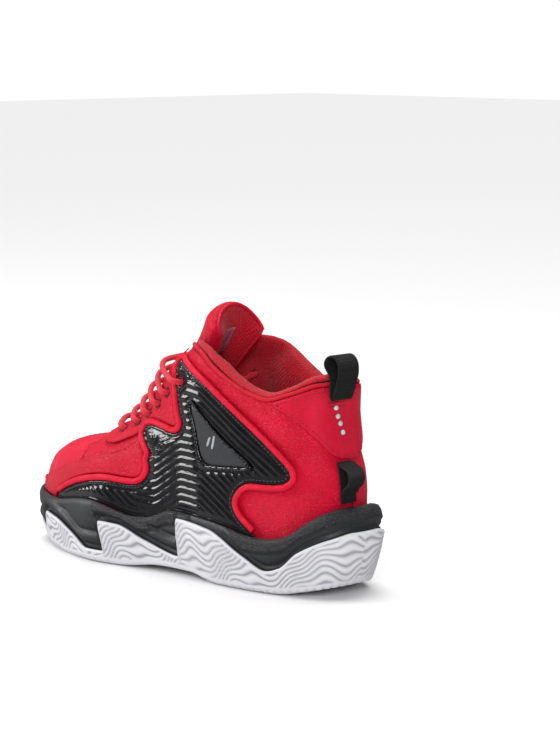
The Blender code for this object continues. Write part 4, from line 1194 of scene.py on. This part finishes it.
def panel_loop():
    edge = panel_edge()
    return join(edge, rail(edge[-1, 0] - 0.004, edge[0, 0] + 0.002, lambda s: rim(s) - 0.9, 50))


def rising_part(border):
    return border[: np.argmax(border[:, 1]) + 1]


def eyestay_loop(border):
    """Lace reinforcement between the throat and the side panel."""
    rising = rising_part(border)
    reach = rising[(rising[:, 1] > 93) & (rising[:, 1] < 150.5)]
    low = ease(side_line([(-64, 86.3), (-57, 82.5), (-45, 82.5), (-33, 87), (-23, 91)]), 3)
    return join(throat_rail(156.5, 91.5, 0.0012), low, reach)


def forefoot_seam():
    return ease(side_line([(-145, 46), (-136, 48), (-124, 51), (-106, 58), (-79, 66), (-60, 74), (-44, 76),
                           (-33, 79), (-24, 85), (-15, 88)]), 3)


def forefoot_loop(border):
    """Mudguard between the toe box and the side panel."""
    seam = forefoot_seam()
    rising = rising_part(border)
    reach = rising[rising[:, 1] < 88][::-1]
    return join(seam, reach, rail(reach[-1, 0] + 0.006, seam[0, 0], lambda s: rim(s) - 0.9, 24))


def heel_tab_side():
    return ease(np.array([(0.158, 128.4), (0.14, 124), (0.115, 117), (0.09, 108), (0.067, 99), (0.052, 94),
                          (0.03, 91.6), (0.0, 91.2)]), 3)


def heel_tab_loop():
    side = heel_tab_side()
    return join(rail(-0.156, 0.156, lambda s: topline(s) - 0.8, 50), side, mirror(side)[::-1][1:])


def badge_loop(grow):
    """Rounded triangle on the side panel, grown by a distance."""
    corners = side_line([(38, 125), (98, 84), (52, 82)])
    middle = corners.mean(0)
    around, rising = slopes(*middle)
    arms = (corners - middle)[:, :1] * around + (corners - middle)[:, 1:] * rising
    arms *= 1 + grow / np.linalg.norm(arms, axis=1, keepdims=True)
    ring_points = middle + to_pattern(*middle, arms)
    closed = np.concatenate([ring_points, ring_points[:1]])
    halves = (closed[:-1] + closed[1:]) / 2
    loop = np.stack([halves, np.roll(ring_points, -1, 0)], 1).reshape(-1, 2)
    return ease_closed(loop, 3)


FLOW_X = [-112, -90, -70, -50, -30, -12, 2, 18, 32, 46, 62, 90, 130]
FLOW_H = [92, 66, 46, 29, 14, 3, 2, 10, 17, 16, 8, -10, -36]


def lateral_phase(places):
    """Ribs that rise from the toe, arch under the badge and run along the top edge of the wing."""
    x, z = places[:, 0], places[:, 2]
    lines = (z - curve(FLOW_X, FLOW_H, x)) / RIB_PERIOD
    eye = np.hypot((x + 2) / 1.35, z - 92.5) / 3.6
    share = smooth((13.0 - np.hypot((x + 2) / 1.35, z - 92.5)) / 5)
    return lines * (1 - share) + eye * share


def medial_phase(places):
    """Straight ribs along the wing's top edge."""
    return (places[:, 2] + 0.62 * places[:, 0]) / FINE_RIB_PERIOD


def panel_relief(phase_of, height, badge):
    """Ribs that fade out at the panel's border and round the badge."""
    def relief(s, z, places, gap):
        room = smooth((gap - 4.0) / 2.2)
        if badge:
            near = gap_to(places, skin(divide(badge_loop(7.5), 1.0)))
            within = inside(flatten(np.stack([s, z], -1)), flatten(badge_loop(7.5)))
            room = room * np.where(within, 0, smooth(near / 2.5))
        groove = -0.45 * np.exp(-((gap - 2.2) / 0.6) ** 2)
        fade = smooth((z - rim(s) - 2) / 5)
        return height * (ribbed(phase_of(places), 0.6) - 0.35) * room * fade + groove
    return relief


def seam_relief(width=0.7, depth=0.35, at=2.0):
    """Dent that a row of stitches pulls into leather."""
    def relief(s, z, places, gap):
        return -depth * np.exp(-((gap - at) / width) ** 2)
    return relief


def inner_line(loop, distance):
    """Closed line inside a loop at a distance from its edge."""
    flat = flatten(loop)
    one = beside(join(loop, loop[:1]), distance)
    if inside(flatten(one), flat).mean() > 0.5:
        return one[inside(flatten(one), flat)]
    other = beside(join(loop, loop[:1]), -distance)
    return other[inside(flatten(other), flat)]


def runs(line, break_at=6.0):
    """Parts of a line between its jumps."""
    gaps = np.linalg.norm(np.diff(skin(line), axis=0), axis=1)
    cuts = np.flatnonzero(gaps > break_at) + 1
    return [part for part in np.split(line, cuts) if len(part) > 3]


def visible(parts):
    """Parts of lines that show above the sole's rim."""
    kept = []
    for part in parts:
        above = part[:, 1] > rim(part[:, 0]) + 2.5
        cuts = np.flatnonzero(np.diff(above.astype(int))) + 1
        pieces = zip(np.split(part, cuts), np.split(above, cuts))
        kept += [line for line, shows in pieces if shows[0] and len(line) > 3]
    return kept


def quarter_puff(turned, edge, tab):
    """Padding that swells the quarter below the collar, clear of the pieces sewn on it."""
    def relief(s, z, places, gap):
        edge_gap = gap_to(places, skin(turned(edge)))
        tab_gap = gap_to(places, skin(divide(tab, 2.0)))
        where = flatten(np.stack([s, z], -1))
        free = ~inside(where, flatten(turned(panel_loop()))) & ~inside(where, flatten(tab))
        pad = smooth((topline(s) - z - 2) / 8) * smooth((z - topline(s) + 44) / 20)
        belly = smooth((z - rim(s)) / 14) * smooth((100 - z) / 18) * smooth((0.20 - fold(s)) / 0.08)
        clear = smooth((edge_gap - 4.2) / 7) * smooth((tab_gap - 1.5) / 8) * free
        piping_seat = -0.4 * np.exp(-((edge_gap - 4.9) / 1.1) ** 2)
        return (2.0 * pad + 0.8 * belly) * clear + piping_seat * free
    return relief


def build_side(tag, flip, look):
    turned = mirror if flip else (lambda line: line)
    holes = eyelets(range(6))
    edge = panel_edge()
    border = beside(edge, 5.0)
    quarter = turned(quarter_loop(0.0004))
    patch(f"quarter_leather_{tag}", quarter, -1.5, 0.0, look["leather"], [f"quarter_{tag}"], "red_leather",
          [turned(h) for h in holes], 4.0, 1, 0.5, quarter_puff(turned, edge, heel_tab_loop()))
    phase = medial_phase if flip else lateral_phase
    ribs = panel_relief(phase, FINE_RIB_HEIGHT if flip else RIB_HEIGHT, not flip)
    panel = turned(panel_loop())
    patch(f"patent_panel_{tag}", panel, OVER_IN, OVER_OUT, look["patent"], [f"side_panel_{tag}"],
          "black_patent", [turned(h) for h in holes[5:]], 3.4, 2, 1.2, ribs)
    stay = turned(eyestay_loop(border))
    patch(f"eyestay_leather_{tag}", stay, OVER_IN, OVER_OUT, look["overlay"], [f"eyestay_{tag}"],
          "red_leather", [turned(h) for h in holes[:5]], 3.2, 1, 0.9, seam_relief())
    guard = turned(forefoot_loop(border))
    patch(f"mudguard_{tag}", guard, OVER_IN, OVER_OUT, look["overlay"], [f"forefoot_overlay_{tag}"],
          "red_leather", (), 3.4, 1, 1.1, seam_relief())
    piping = turned(even(beside(edge, 2.4), 1.2))
    piping = piping[piping[:, 1] > rim(piping[:, 0]) + 0.3]
    path = relax(surface(piping[:, 0], piping[:, 1], np.full(len(piping), PIPING_LIFT)), 3)
    tube(f"rolled_piping_{tag}", path, PIPING_RADIUS, look["piping"], "shoe", [f"piping_{tag}"],
         "red_leather", 12, PIPING_FLAT, facing(piping[:, 0], piping[:, 1]))
    seam = turned(beside(even(forefoot_seam(), 1.5), 2.0))
    if inside(flatten(seam), flatten(guard)).mean() <= 0.5:
        seam = turned(beside(even(forefoot_seam(), 1.5), -2.0))
    rows = [("panel", turned(even(beside(edge, -2.2), 1.0)), STITCH_SINK, "black_thread", "black_patent"),
            ("eyestay", inner_line(stay, 2.0), EDGE_STITCH_SINK, "thread", "red_leather"),
            ("mudguard", seam, EDGE_STITCH_SINK, "thread", "red_leather")]
    for where, line, sink, thread, slot in rows:
        stitches(f"{where}_stitches_{tag}", visible(runs(line)), OVER_OUT - sink, look[thread], slot=slot)


def build_perforations(look):
    """Punched air holes on top of the toe box, drawn as dark red discs of painted shade on the leather."""
    points, faces = [], []
    for x, count in PERFORATION_ROWS:
        for k in range(count):
            y = TOE_SWING + (k - (count - 1) / 2) * PERFORATION_GAP
            z = float(np.interp(x, [-135, -117, -91], [70, 77, 82]))
            s = 0.5
            for _ in range(8):
                here = ring(s, z)
                move = to_pattern(np.array(s), np.array(z), np.array([x, y, 0.0]) - here * [1, 1, 0])
                s, z = s + move[0] * 0.7, z + move[1] * 0.7
            centre = surface(s, z, np.array(0.03))
            out = facing(s, z)
            side = unit(np.cross(out, [0.0, 1.0, 0.0]))
            other = np.cross(out, side)
            first = len(points)
            a = np.arange(10) * np.pi / 5
            for radius, lift in ((0.95, 0.0), (0.8, 0.12), (0.55, -0.1)):
                for b in a:
                    points.append(centre + out * lift + radius * (np.cos(b) * side + np.sin(b) * other))
            faces += ring_faces(first, 3, 10)
    piece("toe_perforations", np.array(points), faces, look["hole"], "shoe", (), "red_leather")


def build_upper(look):
    """Leather of the upper, the heel tab, the badge and the linings."""
    build_side("lateral", False, look)
    build_side("medial", True, look)
    patch("vamp_leather", vamp_loop(), -1.5, 0.0, look["vamp"], ["vamp_toe_box"], "red_leather", (), 3.6, 1,
          0.5)
    build_perforations(look)
    tab = heel_tab_loop()
    patch("heel_tab_leather", tab, OVER_IN, OVER_OUT, look["tab"], ["heel_tab_panel"], "red_leather", (),
          3.2, 1, 1.0, seam_relief(0.7, 0.4, 2.4))
    stitches("heel_tab_stitches", runs(inner_line(tab, 2.4)), OVER_OUT - 0.4, look["dark_thread"],
             slot="red_leather")
    patch("badge_border", badge_loop(6.5), OVER_OUT - 0.2, OVER_OUT + 1.9, look["patent"], ["badge_frame"],
          "black_patent", [badge_loop(2.0)], 2.4, 1, 1.0)
    stitches("badge_stitches", [badge_loop(4.4)], OVER_OUT + 1.75, look["black_thread"], pitch=2.6,
             length=1.7, slot="black_patent")
    patch("badge_plate", badge_loop(1.4), OVER_OUT - 0.2, OVER_OUT + 1.0, look["badge"], ["badge"],
          "charcoal_plastic", (), 2.4, 1, 0.9)
    build_mark(look)
    build_linings(look)


def build_mark(look):
    """Generic mark on the badge: two plain slanted bars."""
    middle = badge_loop(0).mean(0)
    around = slopes(*middle)[0]
    level, climb = unit(around), unit(np.cross(facing(*middle), unit(around)))
    for index, (shift, half) in enumerate(MARK_BARS, 1):
        corners = []
        for along, up in ((-1, -1), (1, -1), (1, 1), (-1, 1)):
            move = level * (shift + 1.0 * along + 1.2 * up) + climb * (half * up)
            corners.append(middle + to_pattern(*middle, move))
        loop = ease(np.array(corners + corners[:1]), 1)[:-1]
        patch(f"badge_mark_{index}", loop, OVER_OUT + 0.9, OVER_OUT + 1.3, look["mark"], (),
              "charcoal_plastic", (), 1.2, 0, 0.3)


def build_linings(look):
    """Mesh lining of the ankle, which drops behind the padded collar near its top."""
    holes = eyelets(range(6))
    lining = quarter_loop(0.0)
    loop = join(lining[:-1], mirror(lining)[::-1][1:-1])
    cut = list(holes) + [mirror(h) for h in holes]
    patch("ankle_mesh", loop, lining_out, lining_in, look["knit"], ["ankle_lining"], "red_mesh", cut, 5.0,
          1, 0.0)


# ---------------------------------------------------------------- padding

def swell(made, cap, voxel, pressure=4.0, frames_run=18):
    """Remesh a pad and blow it up a little with a cloth simulation, no point moving more than its cap."""
    bpy.context.view_layer.objects.active = made
    made.data.remesh_voxel_size = voxel
    made.data.remesh_voxel_adaptivity = 0.0
    bpy.ops.object.select_all(action="DESELECT")
    made.select_set(True)
    bpy.ops.object.voxel_remesh()
    before = np.array([v.co for v in made.data.vertices], float)
    limit = cap(before / MM + ORIGIN) * MM
    after = inflated(made, pressure, frames_run)
    move = after - before
    size = np.linalg.norm(move, axis=1)
    move *= np.minimum(1, limit / np.maximum(size, 1e-9))[:, None]
    made.data.vertices.foreach_set("co", (before + move).astype(np.float32).ravel())
    for _ in range(2):
        ease_points(made)
    made.modifiers.new("finer", "SUBSURF").render_levels = 1
    made.modifiers["finer"].levels = 1
    bpy.ops.object.modifier_apply(modifier="finer")
    made.data.polygons.foreach_set("use_smooth", np.full(len(made.data.polygons), True))


def ease_points(made):
    """Light smoothing that removes the remesh's steps."""
    work = bmesh.new()
    work.from_mesh(made.data)
    every_way = {"use_axis_x": True, "use_axis_y": True, "use_axis_z": True}
    bmesh.ops.smooth_vert(work, verts=work.verts, factor=0.4, **every_way)
    work.to_mesh(made.data)
    work.free()


def inflated(made, pressure, frames_run):
    """Points of a pad after a short cloth simulation under inner pressure, without gravity."""
    cloth = made.modifiers.new("cloth", "CLOTH")
    settings = cloth.settings
    settings.quality = 6
    settings.mass = 0.15
    settings.tension_stiffness = 25
    settings.compression_stiffness = 25
    settings.shear_stiffness = 12
    settings.bending_stiffness = 3
    settings.use_pressure = True
    settings.uniform_pressure_force = pressure
    settings.effector_weights.gravity = 0
    cloth.point_cache.frame_start = 1
    cloth.point_cache.frame_end = frames_run
    scene = bpy.context.scene
    for frame_now in range(1, frames_run + 1):
        scene.frame_set(frame_now)
    graph = bpy.context.evaluated_depsgraph_get()
    shape = made.evaluated_get(graph)
    points = np.array([v.co for v in shape.data.vertices], float)
    made.modifiers.remove(cloth)
    scene.frame_set(1)
    return points


def tongue_face(t, v, depth):
    """Point of the tongue at t along it, v across it (-1 lateral, 1 medial), below its outer face."""
    half = curve(*zip(*TONGUE_HALF), t)
    drop = curve(*zip(*TONGUE_DROP), t)
    x, z = curve(SPINE_T, SPINE_X, t), curve(SPINE_T, SPINE_Z, t)
    dx = curve(SPINE_T, SPINE_X, t + 0.01) - curve(SPINE_T, SPINE_X, t - 0.01)
    dz = curve(SPINE_T, SPINE_Z, t + 0.01) - curve(SPINE_T, SPINE_Z, t - 0.01)
    size = np.hypot(dx, dz)
    out_x, out_z = -dz / size, dx / size
    radius = (half**2 + drop**2) / (2 * drop)
    bend = np.arctan2(half, radius - drop) * v
    fall = radius - (radius - depth) * np.cos(bend)
    y = TOE_SWING * smooth((-x - 30) / 110) + (radius - depth) * np.sin(bend)
    return np.stack([x - out_x * fall, y, z - out_z * fall], -1)


def tongue_end(v):
    return 1.0 - 0.03 * np.abs(v) ** 4 - 0.05 * np.clip(v, 0, 1)


def tongue_grid(rows, cols, near, far, start, width):
    """Two layers of the tongue with edges that come together."""
    u = np.linspace(0, 1, rows + 1)[:, None]
    v = np.linspace(-width, width, cols + 1)[None, :] + 0 * u
    t = start + (tongue_end(v) - 0.01 - start) * u
    rim_gap = np.minimum(np.minimum(1 - np.abs(v / width), (1 - u) * 2.2), (u + 0.02) * 4)
    plump = np.sqrt(np.clip(rim_gap / 0.16, 0, 1)) * 0.75 + 0.25
    full = smooth((t - 0.62) / 0.22)
    near, far = near - 1.2 * full, far + 3.6 * full
    middle = (near + far) / 2
    half = (far - near) / 2 * plump
    return t, v, tongue_face(t, v, middle - half), tongue_face(t, v, middle + half)


def build_tongue(look):
    """Padded tongue, thicker towards its top."""
    t, _, outer, inner = tongue_grid(70, 36, 0.5, 9.8, 0.01, 0.985)
    points = join(outer.reshape(-1, 3), inner.reshape(-1, 3))
    faces = close_layers(t.size, sheet_faces(*t.shape))
    pad = piece("tongue_pad", points, faces, [look["leather"], look["knit"]], "tongue",
                ["tongue_shell", "tongue_foam", "tongue_lining"], "red_leather")

    tree = tree_of(points)
    t_flat = t.reshape(-1)

    def cap(places):
        near = np.array([tree.find(p)[1] % len(t_flat) for p in places])
        return 0.5 + 3.0 * smooth((t_flat[near] - 0.66) / 0.2)

    swell(pad, cap, 0.0022, 5.0)
    dress_tongue(pad, tree, t.size)
    build_tongue_trim(look, pad)


def dress_tongue(pad, tree, count):
    """Leather outside and mesh inside, with pattern coordinates along and across the tongue."""
    places = np.array([vert.co for vert in pad.data.vertices], float) / MM + ORIGIN
    nearest = np.array([tree.find(p)[1] for p in places])
    grain = np.stack([places[:, 1], places @ np.array([0.45, 0.0, 0.89])], -1)
    lay_grain(pad.data, grain)
    inner = nearest >= count
    corners = np.empty(len(pad.data.loops), np.int32)
    pad.data.loops.foreach_get("vertex_index", corners)
    starts = np.array([p.loop_start for p in pad.data.polygons])
    pad.data.polygons.foreach_set("material_index", inner[corners[starts]].astype(np.int32))


def on_pad(pad, points, directions, lift):
    """Points moved along directions on to a pad's surface, then off it by a lift."""
    graph = bpy.context.evaluated_depsgraph_get()
    tree = BVHTree.FromObject(pad, graph)
    moved = []
    for p, d in zip(points, directions):
        start = metres(p) + d * 0.02
        hit = tree.ray_cast(Vector(start), Vector(-d), 0.05)
        where = np.array(hit[0]) / MM + ORIGIN if hit[0] is not None else p
        moved.append(where + d * lift)
    return np.array(moved)


def build_tongue_trim(look, pad):
    """Edge piping and a plain printed label on the padded tongue."""
    v = np.concatenate([np.full(40, -0.985), np.linspace(-0.985, 0.985, 40)[1:-1], np.full(40, 0.985)])
    u = np.concatenate([np.linspace(0.06, 1, 40), np.ones(38), np.linspace(1, 0.06, 40)])
    t = 0.01 + (tongue_end(v) - 0.02) * u
    path = relax(tongue_face(t, v, 5.2 + 1.2 * smooth((t - 0.62) / 0.22)), 4)
    tube("tongue_edge_piping", path, 1.15, look["piping"], "tongue", (), "red_leather", 10)

    rows, cols = 9, 9
    a = np.linspace(0.775, 0.895, rows)[:, None] + 0 * np.zeros(cols)[None]
    b = np.linspace(-0.38, 0.22, cols)[None] + 0 * a
    flat = tongue_face(a, b, 10.6 + 0 * a).reshape(-1, 3)
    below = tongue_face(a, b, 12.6 + 0 * a).reshape(-1, 3)
    inward = unit(below - flat)
    top = on_pad(pad, flat, inward, 0.45)
    low = on_pad(pad, flat, inward, -0.3)
    faces = close_layers(rows * cols, sheet_faces(rows, cols))
    piece("tongue_label_patch", join(top, low), faces, look["label"], "tongue", ["tongue_label"],
          "pink_label")
    points, faces = [], []
    for row in LABEL_LINES:
        c = np.linspace(-0.33, 0.17 if row < 0.83 else 0.02, 12)
        mid = tongue_face(row + 0 * c, c, 10.6 + 0 * c)
        deep = tongue_face(row + 0 * c, c, 12.6 + 0 * c)
        inner_dir = unit(deep - mid)
        line = on_pad(pad, mid, inner_dir, 0.5)
        side = unit(np.cross(np.gradient(line, axis=0), inner_dir))
        first = len(points)
        corners = ((-0.28, 0.0), (0.28, 0.0), (0.28, 0.12), (-0.28, 0.12))
        rims = [line + side * offset + inner_dir * lift for offset, lift in corners]
        points.extend(np.stack(rims, 1).reshape(-1, 3))
        faces += ring_faces(first, len(line), len(corners))
    piece("label_print_lines", np.array(points), faces, look["ink"], "tongue", (), "pink_label")


def build_collar(look):
    """Padded collar: a soft roll over the top and a swollen band down the inside."""
    s = np.linspace(0.381, -0.381, 180)
    top = topline(s)
    share = smooth((0.33 - fold(s)) / 0.06)
    depth = 12.0 + (COLLAR_BAND - 16) * share
    thick = -lining_in(s, top) + 0.0 * s
    profile = []
    for a in np.linspace(np.pi, 0, 9):
        off = -thick / 2 + np.cos(a) * (thick / 2 + 0.2) * -1
        profile.append(surface(s, top + 2.6 + 3.4 * np.sin(a), off))
    for k in np.linspace(0, 1, 8)[1:]:
        off = -thick - 0.4 - 1.6 * share * np.sin(np.pi * k)
        profile.append(surface(s, top + 2.6 - depth * k, off))
    for k in np.linspace(1, 0, 6):
        off = -thick + 2.8 + 0 * s
        profile.append(surface(s, top + 1.0 - (depth - 2.0) * k, np.minimum(off, -1.9)))
    sections = np.stack(profile, 1)
    pad = sweep("collar_pad", sections, look["knit"], "shoe", ["collar_foam", "collar_binding"], "red_mesh")
    swell(pad, lambda places: np.full(len(places), 1.6), 0.0022, 4.0)
    count = len(s)
    lay_collar_grain(pad, s)
    path = surface(s, top + 1.0, np.full(count, -0.2))
    tube("collar_piping", path, 1.5, look["binding"], "shoe", (), "red_mesh", 8)


def lay_collar_grain(pad, s):
    """Pattern coordinates round and up the collar."""
    line = surface(s, topline(s), np.zeros(len(s)) - 5)
    run = run_of(line)
    tree = tree_of(line * [1, 1, 0])
    places = np.array([vert.co for vert in pad.data.vertices], float) / MM + ORIGIN
    nearest = np.array([tree.find((p[0], p[1], 0))[1] for p in places])
    out = places[:, :2] - line[nearest, :2]
    along = (out * unit(np.gradient(line[:, :2], axis=0))[nearest]).sum(1)
    faced = (out * facing(s[nearest], topline(s)[nearest])[:, :2]).sum(1)
    away = np.sign(faced) * np.linalg.norm(out, axis=1)
    lay_grain(pad.data, np.stack([run[nearest] + along, places[:, 2] + away], -1))


# ---------------------------------------------------------------- lace and heel trim

def lace_row(k, side, forward):
    s, z = side * EYELET_S[k], EYELET_Z[k]
    depths = np.array([4.6 if k == 5 else 3.4, 1.0, -2.5, -7.0])
    points = surface(np.full(4, s), np.full(4, z), depths)
    return points if forward else points[::-1]


def lace_bar(k, side):
    start = EYELET_S[k] + 0.006
    s = np.linspace(start, 1 - start, 17)
    share = (fold(s) - start) / (0.5 - start)
    height = LACE_OVER_PIPING if k == 5 else LACE_OVER
    height = height + (LACE_CROWN - height) * smooth((share - 0.35) / 0.5)
    points = surface(s, EYELET_Z[k] + LACE_RISE[k] * np.sin(share * np.pi / 2), height)
    return points if side > 0 else points[::-1]


def lace_under(k, side):
    s = side * np.linspace(EYELET_S[k], EYELET_S[k - 1], 4)[1:-1]
    z = np.linspace(EYELET_Z[k], EYELET_Z[k - 1], 4)[1:-1]
    return surface(s, z, np.full(2, LACE_UNDER))


def lace_path():
    """Straight-bar lacing from the top row down, both ends tucked inside the collar."""
    side = 1
    s, z = EYELET_S[5], EYELET_Z[5]
    tail = surface(np.array([s - 0.03, s - 0.02, s - 0.008]), np.array([z - 24, z - 12, z - 3]),
                   np.array([-13.0, -11.5, -9.2]))
    parts = [tail]
    for k in range(5, -1, -1):
        parts.append(lace_row(k, side, False))
        parts.append(lace_bar(k, side))
        side = -side
        parts.append(lace_row(k, side, True))
        if k:
            parts.append(lace_under(k, side))
    s, z = EYELET_S[0], EYELET_Z[0]
    parts.append(surface(side * np.array([s - 0.01, s - 0.03, s - 0.05, s - 0.062]),
                         np.array([z + 1, z + 6, z + 14, z + 22]), np.full(4, LACE_UNDER - 1.0)))
    return np.concatenate(parts)


def build_lace(look):
    path = relax(resample(lace_path(), 1.1), 3)
    tube("braided_lace", path, BRAID_RADIUS, look["lace"], "shoe", ["lace"], "red_lace", 14)
    points, faces = [], []
    for side in (1, -1):
        for k in range(6):
            s, z = side * EYELET_S[k], EYELET_Z[k]
            height = OVER_OUT + 0.1
            eyelet_ring(points, faces, s, z, height)
    piece("eyelet_edges", np.array(points), faces, look["dark_thread"], "shoe", (), "red_leather")


def eyelet_ring(points, faces, s, z, height):
    """Stitched edge of one lace hole."""
    centre = surface(s, z, np.array(height))
    out = facing(s, z)
    level = unit(slopes(s, z)[0])
    across = np.cross(out, level)
    first = len(points)
    big, small = 20, 6
    for i in range(big):
        a = i * 2 * np.pi / big
        ray = np.cos(a) * level + np.sin(a) * across
        for k in range(small):
            b = k * 2 * np.pi / small
            points.append(centre + ray * (3.2 + 0.42 * np.cos(b)) + out * (0.42 * np.sin(b) - 0.1))
    faces += ring_faces(first, big, small, True)


def webbing(name, path, width, thickness, look, body, stands_for, slot, closed=False, rib=0.0, period=1.7):
    """Flat webbing with rounded edges and raised ribs across it; its path lies in a plane across Y."""
    dense = resample(join(path, path[:1]) if closed else path, WEBBING_STEP)
    if closed:
        dense = dense[:-1]
        ahead = unit(np.roll(dense, -1, 0) - np.roll(dense, 1, 0))
    else:
        ahead = unit(np.gradient(dense, axis=0))
    up = np.cross(ahead, [0.0, 1.0, 0.0])
    run = np.arange(len(dense)) * WEBBING_STEP
    bulge = thickness / 2 + rib * (np.abs(np.sin(np.pi * run / period)) - 0.5)
    offsets = [(1.0, 0.0), (0.985, 0.7), (0.93, 1.0), (0.5, 1.0), (0.0, 1.0), (-0.5, 1.0), (-0.93, 1.0),
               (-0.985, 0.7), (-1.0, 0.0), (-0.985, -0.7), (-0.93, -1.0), (0.0, -1.0), (0.93, -1.0),
               (0.985, -0.7)]
    rings = [dense + np.array([0.0, width / 2 * a, 0.0]) + up * (bulge * b)[:, None] for a, b in offsets]
    return sweep(name, np.stack(rings, 1), look, body, stands_for, slot, closed)


def heel_line(heights, offs):
    z = np.array(heights, float)
    path = surface(np.full(len(z), 0.012), z, np.array(offs, float))
    path[:, 1] = HEEL_Y
    return path


def build_heel(look):
    line = [(148.4, 131.2), (150, 134), (153, 142), (155.6, 150), (154.6, 157.5), (149.5, 161.5),
            (143.5, 159.5), (141.6, 155), (143.6, 151.6), (146.8, 148), (147.6, 142.5), (147.3, 135.5)]
    path = np.array([(x + 0.6, HEEL_Y, z) for x, z in line])
    path = ease_closed(path, 2)
    webbing("pull_loop_webbing", path, 19.0, 1.4, look["webbing"], "loop", ["pull_loop"], "black_webbing",
            True, 0.3)
    flat = heel_line([90.2, 86, 80, 74, 68, 63.4], [OVER_IN + 0.7] * 6)
    webbing("heel_strap_webbing", flat, 14.0, 1.3, look["webbing"], "shoe", ["heel_strap"],
            "black_webbing", False, 0.25)
    loop = heel_line([89, 87, 83.5, 78.5, 74.5, 73, 70], [3.2, 4.6, 9.5, 10.5, 7.5, 4.6, 3.2])
    webbing("heel_loop_strap", relax(resample(loop, 1.0), 2), 15.0, 1.5, look["strap"], "shoe",
            ["heel_strap_loop"], "black_strap")
    for index, (s, z) in enumerate([(0.033, 126), (0.028, 120), (0.022, 115), (0.017, 109)], 1):
        build_dot(index, s, z, look["dot"])
    points, faces = [], []
    for y_from, y_to, z in ((-15.2, 3.2, 129.6), (-15.2, 3.2, 126.9)):
        y = np.linspace(y_from, y_to, 20)
        x = np.array([surface(0.012, z, np.array(OVER_OUT))[0]] * 20)
        row = np.stack([x - 0.012 * (y - HEEL_Y) ** 2 * 0.6 + 0.15, y, np.full(20, z)], -1)
        threads(row, np.tile([1.0, 0.0, 0.0], (20, 1)), 2.6, 1.8, 0.45, points, faces)
    piece("pull_loop_stitches", np.array(points), faces, look["dark_thread"], "shoe", (), "red_leather")


def build_dot(index, s, z, look):
    """Small domed reflective dot."""
    centre = surface(s, z, np.array(OVER_OUT + 0.1))
    out = unit(surface(s, z, np.array(5.0)) - centre)
    side = unit(np.cross(out, [0.0, 0.0, 1.0]))
    up = np.cross(side, out)
    a = np.arange(20)[:, None] * np.pi / 10
    profile = [(0, 1.75), (0.45, 1.75), (0.75, 1.6), (1.0, 1.2), (1.15, 0.6)]
    rims = [centre + out * h + r * (np.cos(a) * side + np.sin(a) * up) for h, r in profile]
    sweep(f"reflector_{index}", np.stack(rims), look, "shoe", [f"heel_dot_{index}"], "mint_reflector")


# ---------------------------------------------------------------- whole object

KEPT = {
    "shank_plate": "stiff", "sole_board": "board", "toe_puff": "stiff", "heel_counter": "stiff",
    "vamp_lining": "knit", "aglet_1": "tip", "aglet_2": "tip",
}


def dress_nodes(frame, look):
    """Better materials on the CAD nodes that stay, and a real material on those that are hidden."""
    for name, node in frame["nodes"].items():
        node.data.materials.clear()
        node.data.materials.append(look[KEPT.get(name, "cream")])
        node.data.polygons.foreach_set("use_smooth", np.full(len(node.data.polygons), name in KEPT))


def build_shoe(look):
    build_outsole(look)
    build_midsole(look)
    build_sockliner(look)
    build_upper(look)
    build_tongue(look)
    build_collar(look)
    build_lace(look)
    build_heel(look)


make_stage()
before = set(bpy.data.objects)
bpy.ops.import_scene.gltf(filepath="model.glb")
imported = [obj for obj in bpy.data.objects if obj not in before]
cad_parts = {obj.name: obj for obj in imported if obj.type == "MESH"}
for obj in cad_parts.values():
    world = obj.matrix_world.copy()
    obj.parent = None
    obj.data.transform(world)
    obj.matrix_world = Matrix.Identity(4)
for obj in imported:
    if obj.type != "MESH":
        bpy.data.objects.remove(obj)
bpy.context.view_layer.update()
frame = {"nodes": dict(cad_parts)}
looks = make_looks()
looks["insole"] = knit("insole_fabric", (0.05, 0.05, 0.055), (0.16, 0.16, 0.17), 700)
dress_nodes(frame, looks)
build_shoe(looks)
